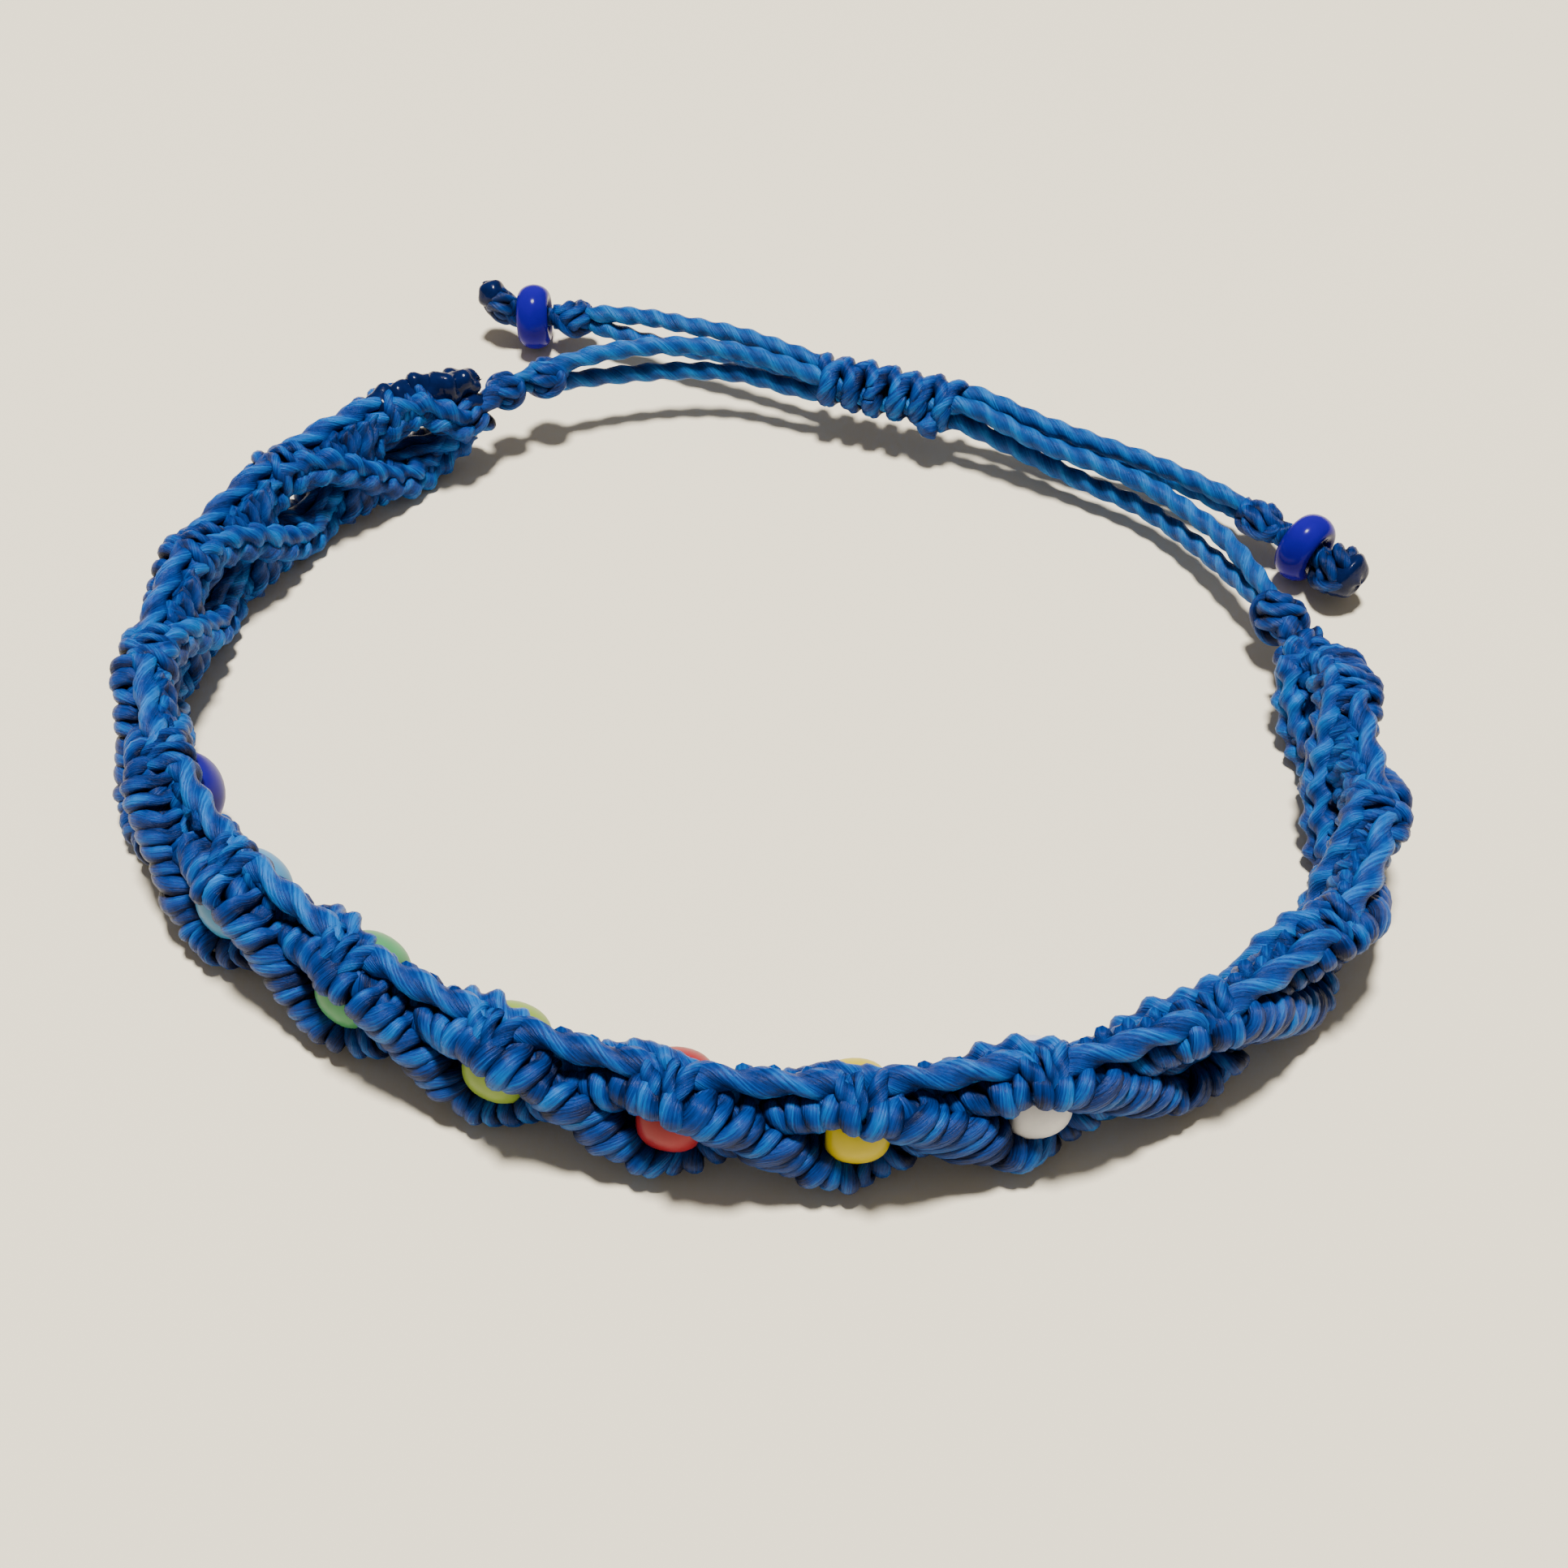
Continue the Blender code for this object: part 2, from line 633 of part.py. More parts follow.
def build():
    for old in list(bpy.data.objects):
        bpy.data.objects.remove(old)
    cord_look = material(*CORD_BLUE)
    melt_look = material(*MELT_NAVY)
    glass_look = material(*TAIL_GLASS)
    build_band(cord_look)
    build_beads()
    for side in ("left", "right"):
        place, inward = end_knot_place(side)
        knot = knot_body("end_knot_" + side, END_KNOT_LENGTH, END_KNOT_DIAMETER, cord_look)
        aim(knot, place, inward)
    for name in CORD_ROUTES:
        build_cord(name, cord_look)
    build_slide_knot(cord_look)
    for row in TAILS:
        build_tail(row, cord_look, melt_look, glass_look)


build()
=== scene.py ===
# %% [markdown]
# This lesson dresses a knotted bracelet. Its solids are loaded as a fixed frame, and each step
# makes the fine surface of one part, at its real size and where its solid is.

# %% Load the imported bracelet
from math import cos, pi, radians, sin

import bpy
import numpy as np
from mathutils import Matrix, Vector


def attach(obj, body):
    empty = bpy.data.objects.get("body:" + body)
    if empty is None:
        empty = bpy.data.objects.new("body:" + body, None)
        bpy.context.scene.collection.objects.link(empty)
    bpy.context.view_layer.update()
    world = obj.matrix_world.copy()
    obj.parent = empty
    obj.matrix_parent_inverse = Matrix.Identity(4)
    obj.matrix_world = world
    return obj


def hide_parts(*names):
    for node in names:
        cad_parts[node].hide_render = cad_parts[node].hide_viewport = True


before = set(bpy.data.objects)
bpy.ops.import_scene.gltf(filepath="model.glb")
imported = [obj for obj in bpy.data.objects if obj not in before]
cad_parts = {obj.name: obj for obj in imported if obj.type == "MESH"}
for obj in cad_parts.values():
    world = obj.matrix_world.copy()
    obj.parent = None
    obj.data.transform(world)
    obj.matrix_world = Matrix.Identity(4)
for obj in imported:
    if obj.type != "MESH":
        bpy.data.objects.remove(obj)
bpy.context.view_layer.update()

# %% [markdown]
# The bracelet stands on its lower rim on a plain pale floor. The photograph was taken
# from above the front of the band, looking down at 48 degrees, with the lens about 9 cm from
# the loop's middle. The place and the focal length were worked out from the loop's outline and
# from how fast the stitches get smaller towards the back.

# %% Camera
MM = 0.001
camera = bpy.data.objects.new("camera", bpy.data.cameras.new("camera"))
bpy.context.scene.collection.objects.link(camera)
camera.location = (1.95 * MM, -63.45 * MM, 68.2 * MM)
looking = Matrix.Rotation(radians(42.0), 3, "X") @ Matrix.Rotation(radians(2.4), 3, "Z")
camera.rotation_euler = looking.to_euler()
camera.data.lens = 43.8
camera.data.sensor_width = 36.0
camera.data.clip_start = 1 * MM
camera.data.clip_end = 5.0
bpy.context.scene.camera = camera
print("camera at", [round(c / MM, 1) for c in camera.location], "mm")

# %% [markdown]
# Every part of a bracelet like this is one kind of waxed cord, laid along a different path. So
# the first helpers are a smooth line through a few points, the distance along a line, and
# points spaced evenly on it. Blender's own curves could do this, but arrays let the same line
# be bent, wound round and measured before any mesh is made.

# %% Lines
UP = np.array([0.0, 0.0, 1.0])


def smooth_line(points, steps=40, closed=False):
    """Curve through points. Between two of them it blends the straight lines through their
    neighbours, with the time between points being the root of their distance (Catmull-Rom)."""
    p = np.asarray(points, float)
    if closed:
        p = np.vstack([p[-1:], p, p[:2]])
    else:
        p = np.vstack([2 * p[:1] - p[1:2], p, 2 * p[-1:] - p[-2:-1]])
    gap = np.sqrt(np.linalg.norm(np.diff(p, axis=0), axis=1))[:, None, None]
    a, b, c, d = (p[i : len(p) - 3 + i, None, :] for i in range(4))
    t1, t2 = gap[:-2], gap[:-2] + gap[1:-1]
    t3 = t2 + gap[2:]
    t = t1 + (t2 - t1) * np.linspace(0, 1, steps, endpoint=False)[None, :, None]

    def blend(start, stop, low, high):
        return ((high - t) * start + (t - low) * stop) / (high - low)

    ab, bc, cd = blend(a, b, 0, t1), blend(b, c, t1, t2), blend(c, d, t2, t3)
    line = blend(blend(ab, bc, 0, t2), blend(bc, cd, t1, t3), t1, t2).reshape(-1, p.shape[1])
    return np.vstack([line, p[-2:-1]])


def lengths_along(line):
    """Distance from the start to every point of a line."""
    return np.concatenate([[0.0], np.cumsum(np.linalg.norm(np.diff(line, axis=0), axis=1))])


def spaced(line, step):
    """The same line with points about one step apart."""
    along = lengths_along(line)
    stops = np.linspace(0, along[-1], max(4, int(round(along[-1] / step)) + 1))
    return np.column_stack([np.interp(stops, along, line[:, k]) for k in range(line.shape[1])])


def unit(vectors):
    """Each vector divided by its own length, so that it is 1 long."""
    return vectors / np.maximum(np.linalg.norm(vectors, axis=-1, keepdims=True), 1e-12)


def upright(path):
    """The straight-up direction, once for each point of a path."""
    return np.repeat([UP], len(path), 0)


# %% [markdown]
# The cord is two yarns twisted together and waxed, so its section isn't a circle but two
# rounds side by side, and that section turns as it goes along. A helix of two tubes would show
# the same and cost twice the faces; one tube with a turning, two-lobed section is enough. The
# same function stores where each point lies round the yarn, because the fine fibre lines of
# the finish follow the cord and not the room.

# %% Twisted cord as a surface
CORD = 0.9 * MM  # thickness of the waxed cord
LAY = 3.4 * MM  # length in which the two yarns turn once round each other


def twisted_cord(
    path, lead, thickness=CORD, groove=0.11, lay=LAY, tone=0.5, flat=1.0, crease=0.0, sides=12
):
    """Surface along a path. Ring point = centre + r (flat cos a * across + sin a * up), where
    r = half thickness * (1 - groove + groove * cos 2(a - w)) and w turns once in each lay.
    lead gives the across direction at each path point, made square to the path. The fibre is
    the cosine and sine of a - w and the distance along in mm. Tone and shade come as three
    values: the tone; the lobe, from 0 in the groove to 1, which the colour uses for painted shade
    in the groove between the yarns; and painted shade on the side away from lead, crease times 0
    on the side of lead and 1 on the other side. The ends are closed by fans."""
    path = np.asarray(path, float)
    ahead = unit(np.gradient(path, axis=0))
    across = unit(lead - ahead * (lead * ahead).sum(1, keepdims=True))
    up = np.cross(ahead, across)
    along = lengths_along(path)
    turn = 2 * pi * np.arange(sides) / sides
    yarn = turn[None, :] - 2 * pi * along[:, None] / lay
    half = np.broadcast_to(np.asarray(thickness, float), (len(path),))[:, None] / 2
    lobes = np.cos(2 * yarn)
    r = half * (1 - groove + groove * lobes)
    ring = across[:, None, :] * flat * np.cos(turn)[None, :, None]
    ring = ring + up[:, None, :] * np.sin(turn)[None, :, None]
    points = path[:, None, :] + r[:, :, None] * ring
    count = len(path)
    fibre = np.stack([np.cos(yarn), np.sin(yarn), np.repeat(along[:, None] / MM, sides, 1)], 2)
    tones = np.broadcast_to(np.asarray(tone, float), (count,))[:, None] + 0 * yarn
    # Painted shade: darker on the side away from lead, the side against what the cord wraps.
    deep = crease * (0.5 - 0.5 * np.cos(turn))[None, :]
    tone_and_shade = np.stack([tones, lobes * 0.5 + 0.5, deep + 0 * yarn], 2)
    here = np.arange(sides)
    after = (here + 1) % sides
    ring_start = np.arange(count - 1)[:, None] * sides
    low, low_after = ring_start + here, ring_start + after
    quads = np.stack([low, low_after, low_after + sides, low + sides], 2).reshape(-1, 4)
    last_ring, centre = (count - 1) * sides, np.full(sides, count * sides)
    first_cap = np.stack([centre, after, here], 1)
    last_cap = np.stack([last_ring + here, last_ring + after, centre + 1], 1)
    return {
        "points": np.vstack([points.reshape(-1, 3), path[:1], path[-1:]]),
        "quads": quads,
        "tris": np.vstack([first_cap, last_cap]),
        "fibre": np.vstack([fibre.reshape(-1, 3), fibre[0, :1], fibre[-1, :1]]),
        "tone_and_shade": np.vstack([tone_and_shade.reshape(-1, 3), tone_and_shade[0, :1], tone_and_shade[-1, :1]]),
    }


# %% [markdown]
# Each piece of the bracelet is one object, joined from as many such surfaces as it needs. It
# sits at the origin with its place in its mesh, and rides on the bracelet's one body.

# %% One object from many surfaces
def piece(name, surfaces, look, slot, *nodes):
    """One object from a row of surfaces, smooth, with the fibre, the tone and the painted shade
    kept on its points.
    It has the look as its material and replaces the solids named last; the slot is not used."""
    starts = np.cumsum([0] + [len(s["points"]) for s in surfaces])
    points = np.vstack([s["points"] for s in surfaces])
    faces = []
    for s, start in zip(surfaces, starts):
        faces += (s["quads"] + start).tolist() + (s["tris"] + start).tolist()
    mesh = bpy.data.meshes.new(name)
    mesh.from_pydata(points.tolist(), [], faces)
    for key in ("fibre", "tone_and_shade"):
        layer = mesh.attributes.new(key, "FLOAT_VECTOR", "POINT")
        layer.data.foreach_set("vector", np.vstack([s[key] for s in surfaces]).ravel())
    mesh.materials.append(look)
    mesh.shade_smooth()
    made = bpy.data.objects.new(name, mesh)
    bpy.context.scene.collection.objects.link(made)
    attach(made, "root")
    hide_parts(*nodes)
    print(name, "has", sum(len(f) - 2 for f in faces), "triangles")
    return made


# %% [markdown]
# Materials are built from nodes. One helper adds a node with its settings and links, and one
# turns the sRGB colours that a paint chart or a photograph gives into the linear ones that
# Blender reckons with.

# %% Node and colour helpers
def linear(hex_colour):
    """sRGB hex to linear red, green, blue and alpha."""
    share = np.array([int(hex_colour[i : i + 2], 16) / 255 for i in (0, 2, 4)])
    low = np.where(share <= 0.04045, share / 12.92, ((share + 0.055) / 1.055) ** 2.4)
    return (*low.tolist(), 1.0)


def node(tree, kind, inputs=None, **settings):
    """Add a node, set its properties, and feed its sockets with values or other outputs."""
    made = tree.nodes.new(kind)
    for key, value in settings.items():
        setattr(made, key, value)
    for key, value in (inputs or {}).items():
        if isinstance(value, bpy.types.NodeSocket):
            tree.links.new(value, made.inputs[key])
        else:
            made.inputs[key].default_value = value
    return made


def new_look(name, **sockets):
    """A material whose one shader has its constant sockets set."""
    look = bpy.data.materials.new(name)
    look.use_nodes = True
    shader = look.node_tree.nodes["Principled BSDF"]
    for key, value in sockets.items():
        shader.inputs[key.replace("_", " ")].default_value = value
    return look, look.node_tree, shader


def noise(tree, vector, scale, detail, **values):
    """Value of a noise texture with so many spots a unit."""
    values = {"Vector": vector, "Scale": scale, "Detail": detail, **values}
    return node(tree, "ShaderNodeTexNoise", values).outputs["Fac"]


def join(tree, shader, colour, height, strength, depth):
    """Joins a colour to the shader, and a bump from a height."""
    bump = node(tree, "ShaderNodeBump", {"Height": height, "Strength": strength, "Distance": depth})
    tree.links.new(colour, shader.inputs["Base Color"])
    tree.links.new(bump.outputs["Normal"], shader.inputs["Normal"])


# %% [markdown]
# Waxed polyester cord: bundles of fine, even, extruded fibres, dyed blue right through. The
# wax lays the fibres flat. Each stitch has a painted sheen along its top and painted shade,
# deep blue, in the grooves. The fibres are too fine to show, so they are streaks of about 0.1
# by 1.3 mm that run with the yarn. The colour runs from the darkest to the lightest blue by one
# sum: half of the stitch's tone and of patches of about 1 mm, plus streaks, plus 0.3 of the
# lobe, which is painted shade in the groove between the yarns, minus the crease, which is
# painted shade on the side that lies against what the cord wraps.

# %% Cord finish
def waxed_cord(name, deep, body, lighter):
    """Cord finish from three sRGB colours: the darkest, for dark tones and the painted shade in
    grooves; that of most of the cord; and the lightest, for light tones and the painted sheen on
    the crowns.
    """
    look, tree, shader = new_look(name, Roughness=0.36, Specular_IOR_Level=0.16)
    fibre = node(tree, "ShaderNodeAttribute", attribute_name="fibre")
    tone_and_shade = node(tree, "ShaderNodeAttribute", attribute_name="tone_and_shade")
    parts = node(tree, "ShaderNodeSeparateXYZ", {"Vector": tone_and_shade.outputs["Vector"]})
    stretch = node(
        tree, "ShaderNodeMapping", {"Vector": fibre.outputs["Vector"], "Scale": (4.5, 4.5, 0.6)}
    )
    streaks = noise(tree, stretch.outputs["Vector"], 1.3, 4.0, Roughness=0.6)
    place = node(tree, "ShaderNodeTexCoord")
    patches = noise(tree, place.outputs["Object"], 900.0, 2.0)
    tone = node(tree, "ShaderNodeMath", {0: parts.outputs["X"], 1: patches}, operation="ADD")
    total = streaks
    # Painted shade: 0.3 of the lobe darkens the groove between the yarns, and the crease darkens
    # the side against what the cord wraps.
    shares = (tone.outputs["Value"], 0.5), (parts.outputs["Y"], 0.3), (parts.outputs["Z"], -1.0)
    for value, weight in shares:
        terms = {0: value, 1: weight, 2: total}
        total = node(tree, "ShaderNodeMath", terms, operation="MULTIPLY_ADD").outputs["Value"]
    share = node(tree, "ShaderNodeMapRange", {"Value": total, "From Min": 0.75, "From Max": 1.6})
    ramp = node(tree, "ShaderNodeValToRGB", {"Fac": share.outputs["Result"]})
    ramp.color_ramp.elements[0].color = linear(deep)
    ramp.color_ramp.elements[0].position = 0.05
    ramp.color_ramp.elements[1].color = linear(lighter)
    ramp.color_ramp.elements[1].position = 0.98
    middle = ramp.color_ramp.elements.new(0.5)
    middle.color = linear(body)
    join(tree, shader, ramp.outputs["Color"], streaks, 1.0, 0.1 * MM)
    return look


cord_blue = waxed_cord("waxed_polyester_cord_blue", "00103A", "003480", "0870C2")
# A lighter copy of the cord colour, for the closure's cords.
cord_lighter = waxed_cord("waxed_polyester_cord_rubbed", "002058", "00448E", "1C78C2")
cord_waxy = waxed_cord("waxed_polyester_cord_wax_darkened", "000C30", "002868", "0A56A8")
print("cord finish has", len(cord_blue.node_tree.nodes), "nodes")

# %% [markdown]
# The band follows a slightly flattened loop. It is the same line that the solids follow, so
# the plan is repeated here: shares of half the width and half the depth, from the sliding
# knot round by the left. Lengths along the band are counted from the middle bead.

# %% The loop's plan and the band's measures
LOOP_HALF = np.array([28.15, 25.0]) * MM  # half the width and half the depth
LOOP_PLAN = [
    (0.249, 1.004), (-0.124, 1.060), (-0.451, 0.980), (-0.549, 0.872),
    (-0.689, 0.780), (-0.913, 0.464), (-1.000, 0.036), (-0.881, -0.376),
    (-0.604, -0.652), (-0.313, -0.826), (0.005, -0.910), (0.343, -0.880),
    (0.686, -0.728), (0.961, -0.408), (0.995, 0.036), (0.961, 0.284),
    (0.934, 0.388), (0.728, 0.736),
]
MIDDLE_SHARE = 0.4806  # of the way round, from the first plan point to the middle bead
PITCH = 7.4 * MM  # one eye of the band, from crossing to crossing
EYES = 15
BAND_HEIGHT = 6.2 * MM
HALF_BAND = EYES * PITCH / 2

plan_line = smooth_line(np.array(LOOP_PLAN) * LOOP_HALF, steps=60, closed=True)
plan_lengths = lengths_along(plan_line)
LOOP_LENGTH = plan_lengths[-1]


def on_loop(along):
    """Plan points, outward and forward directions at distances from the middle bead."""
    s = (MIDDLE_SHARE * LOOP_LENGTH + np.atleast_1d(along)) % LOOP_LENGTH
    step = unit(np.gradient(plan_line, axis=0))
    place = np.column_stack([np.interp(s, plan_lengths, plan_line[:, k]) for k in (0, 1)])
    ahead = unit(np.column_stack([np.interp(s, plan_lengths, step[:, k]) for k in (0, 1)]))
    flat = np.zeros((len(s), 1))
    out = np.hstack([ahead[:, 1:], -ahead[:, :1], flat])
    return np.hstack([place, flat]), out, np.hstack([ahead, flat])


def in_band(along, outward, height):
    """Points of the band from distance along it, offset outwards and height. The top rim stands
    0.3 mm further out than the bottom one, less a bell curve of 1.1 mm round the first beads
    from the left, plus a smooth step of 1.0 mm on the far left and 0.8 mm on the far right."""
    place, out, _ = on_loop(along)
    worn_in = np.exp(-(((along + 2.8 * PITCH) / (1.9 * PITCH)) ** 2))
    far_left = 1 / (1 + np.exp((along + 4.6 * PITCH) / (0.4 * PITCH)))
    far_right = 1 / (1 + np.exp((4.9 * PITCH - along) / (0.3 * PITCH)))
    lean = (0.3 - 1.1 * worn_in + 1.0 * far_left + 0.8 * far_right) * MM
    outward = outward + lean * (height - BAND_HEIGHT / 2) / BAND_HEIGHT
    return place + out * outward[:, None] + UP * height[:, None]


print("loop is", round(LOOP_LENGTH / MM, 1), "mm long, band", round(2 * HALF_BAND / MM, 1), "mm")

# %% [markdown]
# The body of the band is two ridges of double half hitches: a carrying strand with another
# tied round it, stitch after stitch. The ridges rise and fall in opposite waves, and where
# they cross the falling one lies outside. A hitch shows as a slanted wrap across the ridge,
# so each ridge is one long winding: a cord that goes round the wave's centre line, slanted
# away from the peak. Tying real hitches would hide most of the cord inside.

# %% Where the ridges run
MIDDLE = 3.0 * MM  # height of the crossings
SWING = 1.88 * MM  # how far a ridge's middle rises and falls from there
SIDE_SWING = 0.5 * MM  # how far it passes outside or inside the other one


def ridge_centre(along, sign):
    """Height and outward offset of a ridge: middle plus or minus a wave with one peak for
    every two eyes; the offset is the same wave a quarter behind, so falling runs outside. It
    is 0.12 mm further out all along and up to 0.3 mm more where the ridge is low. Past the
    band's ends the ridge runs on at the middle height."""
    phase = pi * along / PITCH
    inside = np.abs(along) <= HALF_BAND
    height = MIDDLE + sign * SWING * np.where(inside, np.cos(phase), 0.0)
    outward = sign * SIDE_SWING * np.where(inside, np.sin(phase), 0.3 * np.sign(along))
    low = np.maximum(MIDDLE - height, 0.0) / SWING
    return height, outward + (0.12 + 0.30 * low) * MM


lowest, highest = ridge_centre(np.array([-PITCH, 0.0]), 1)[0]
print("a ridge's middle runs from", round(lowest / MM, 2), "to", round(highest / MM, 2), "mm high")

# %% Wraps round a ridge
WRAPS_PER_EYE = 12
STEPS_PER_WRAP = 22
SLANT = 0.82 * MM  # how far a wrap's top leans along the ridge at its steepest
TUCK = 0.26 * MM  # how far a wrap is pulled in at its top
LOWEST_WRAP = 0.43 * CORD  # height of a wrap's middle where it touches the floor


def winding(sign, first, last, wraps, seed):
    """A cord wound round a ridge. Turn angle t counts from the outside; point = ridge centre +
    (thickness cos t) outwards + (height sin t) up; it moves on by (t - sin t) / 2 pi of a wrap,
    so mostly behind, and its top leans along by the slant times the ridge's slope. Each wrap
    is bent to a crescent of its own by a share of cos 2t, and on top it tucks in a little, by
    a bell curve round a quarter turn, where its tone is lowered as painted shade. Its inside,
    against the ridge, has painted shade too. Random numbers make each wrap a little uneven."""
    rng = np.random.default_rng(seed)
    q = np.linspace(0, wraps, wraps * STEPS_PER_WRAP + 1)
    t = 2 * pi * q
    fine = np.linspace(first, last, 3000)
    height, outward = ridge_centre(fine, sign)
    travel = lengths_along(np.column_stack([fine, outward, height]))

    def each_wrap(spread):
        return np.interp(q, np.arange(wraps + 1), rng.normal(0, spread, wraps + 1))

    share = (q - np.sin(t) / (2 * pi)) / wraps
    along = np.interp(share * travel[-1], travel, fine) + each_wrap(0.05 * MM)
    slope = -sign * np.sin(pi * along / PITCH)
    peak = np.cos(pi * along / PITCH) ** 2
    height, outward = ridge_centre(along, sign)
    half_out = (0.74 + 0.46 * peak) * MM * (1 + each_wrap(0.08))
    half_up = (0.52 + 0.18 * peak) * MM * (1 + each_wrap(0.12))
    shift = (-slope * SLANT + each_wrap(0.2 * MM)) * np.sin(t)
    shift = shift + each_wrap(0.1 * MM) * np.cos(2 * t)
    tuck = np.exp(-((np.sin(t / 2 - pi / 4) / 0.2) ** 2))
    outward = outward + half_out * np.cos(t)
    height = height + (half_up - TUCK * tuck) * np.sin(t)
    height = np.maximum(height, LOWEST_WRAP)
    path = in_band(along + shift, outward, height)
    _, out, _ = on_loop(along)
    lead = out * np.cos(t)[:, None] + UP * np.sin(t)[:, None]
    # Random tone for each wrap, less painted shade where the wrap tucks in.
    tone = 0.57 + each_wrap(0.14) - 0.35 * tuck
    low = np.clip((MIDDLE - ridge_centre(along, sign)[0]) / SWING, 0, 1)
    fullest = CORD * (0.89 + 0.22 * np.cos(t) - 0.18 * low + each_wrap(0.09))
    # Painted shade on the inner side of each wrap, towards the ridge's middle.
    return twisted_cord(path, lead, fullest, 0.08, 7.0 * MM, tone, flat=0.8, crease=0.8)


print("wraps are", round(PITCH / WRAPS_PER_EYE / MM, 2), "mm apart")

# %% [markdown]
# A row of hitches hides the strands that it is tied round, and on the wrist side the backs of
# the hitches make a chain of bumps. The hidden strands fill the ridge, and two lumpy cords of
# opposite twist, one over the other, look like that chain.

# %% Strands along a ridge
CHAIN_STITCH = 1.3 * MM  # one bump of the chain
WANDER = 0.15  # mm


def carried_strands(sign, first, last, shift, rise, thick, lay, tone, lumps=0.0, seed=0):
    """Strands that run along a ridge: its centre line moved outwards by shift and up by rise.
    Lumps swell it by that share, as a cosine with one wave for every chain stitch, and make it
    wander by up to 0.15 mm and vary in tone."""
    rng = np.random.default_rng(seed)
    along = np.arange(first, last, 0.2 * MM)
    height, outward = ridge_centre(along, sign)
    wave = 2 * pi * along / CHAIN_STITCH + (pi if rise > 0 else 0.0)
    stitches = np.arange(first, last + CHAIN_STITCH, CHAIN_STITCH)
    wander = np.interp(along, stitches, rng.uniform(-WANDER, WANDER, len(stitches)))
    wander = wander * MM * (lumps > 0)
    path = in_band(along, outward + shift + wander, height + rise - 0.5 * wander)
    uneven = np.interp(along, stitches, rng.normal(0, 0.12, len(stitches))) * (lumps > 0)
    thick = thick * (1 + lumps * np.cos(wave))
    return twisted_cord(path, upright(path), thick, 0.16, lay, tone + uneven, sides=16)


# %% The two ridges
def ridge(name, sign, first, last, wraps, seed):
    """The wraps, the carrying strands that they hide, and the chain that their backs make
    along the wrist side, 1 mm in from the ridge's middle and 0.45 mm over and under it."""
    surfaces = [winding(sign, first, last, wraps, seed)]
    # The hidden carrying strand has a low tone, 0.2: painted shade where it shows between the
    # wraps.
    surfaces.append(carried_strands(sign, first, last, 0.0, 0.0, 1.5 * MM, 3.0 * MM, 0.2))
    ends = (first + 0.6 * MM, last - 0.6 * MM)
    for rise, lay, more in ((0.45, 2.6, 1), (-0.45, -2.6, 2)):
        chain = (-1.0 * MM, rise * MM, 1.15 * MM, lay * MM, 0.62, 0.22, seed + more)
        surfaces.append(carried_strands(sign, *ends, *chain))
    return piece(name, surfaces, cord_blue, "waxed_cord", "macrame_band")


wraps = EYES * WRAPS_PER_EYE
ridge("ridge_rising_first", 1, -HALF_BAND - 0.4 * MM, HALF_BAND + 2.4 * MM, wraps + 4, 3)
ridge("ridge_falling_first", -1, -HALF_BAND, HALF_BAND + 0.6 * MM, wraps + 1, 8)
print("the ridges have", wraps + 4, "and", wraps + 1, "wraps")

# %% [markdown]
# Along each rim a plain length of the cord spans from one eye's peak to the next. It goes in
# between the stitches at both ends, which leaves a notch there and a small dark triangle under
# the span. On each peak of the top rim two thick loops and a thin one between them cross it.

# %% Rim cords
RIM_INSET = 0.64  # mm from the rim to the middle of its cord, beside a peak
RIM_DUCK = 0.6  # mm that the cord's ends go in between the stitches


def over_bead(along):
    """How far the top rim is pulled in over the first two beads from the left: a bell curve,
    0.5 mm high."""
    return 0.5 * MM * np.exp(-(((along + 2.6 * PITCH) / (0.9 * PITCH)) ** 2))


def rim_span(start, top, seed):
    """Rim cord between two peaks. With q from -1 to 1 it sags by 0.12 mm times 1 - q squared,
    then ducks at its ends by 0.6 mm times q to the tenth and moves outwards by as much. It is
    1.28 mm thick, less 0.3 mm times q to the eighth."""
    rng = np.random.default_rng(seed)
    q = np.linspace(-1, 1, 56)
    along = start + PITCH / 2 + q * (PITCH / 2 - 0.25 * MM)
    duck = RIM_DUCK * MM * q**10
    height = BAND_HEIGHT - (RIM_INSET + 0.12 * (1 - q**2)) * MM - duck
    beaded = abs(start + PITCH / 2) < 3.5 * PITCH
    outward = ((-0.42 if beaded else 0.1) + rng.normal(0, 0.06)) * MM + duck
    if top:
        outward = outward - over_bead(along)
    else:
        height = BAND_HEIGHT - height
        outward = outward - 0.1 * MM
    path = in_band(along, outward, height)
    thick = (1.28 - 0.3 * q**8) * MM
    return twisted_cord(path, upright(path), thick, 0.2, 4.4 * MM, 0.62 + rng.normal(0, 0.08))


print("over the first bead the rim is", round(over_bead(-3 * PITCH) / MM, 2), "mm further in")

# %% Loops on the peaks
LOOP_REACH = 1.25 * MM  # from the middle of a loop's arc to its outside
# Shift and lean in mm, and thickness.
LOOPS = ((-0.75, 0.35, 0.85 * MM), (0.0, 0.05, 0.55 * MM), (0.75, -0.35, 0.85 * MM))


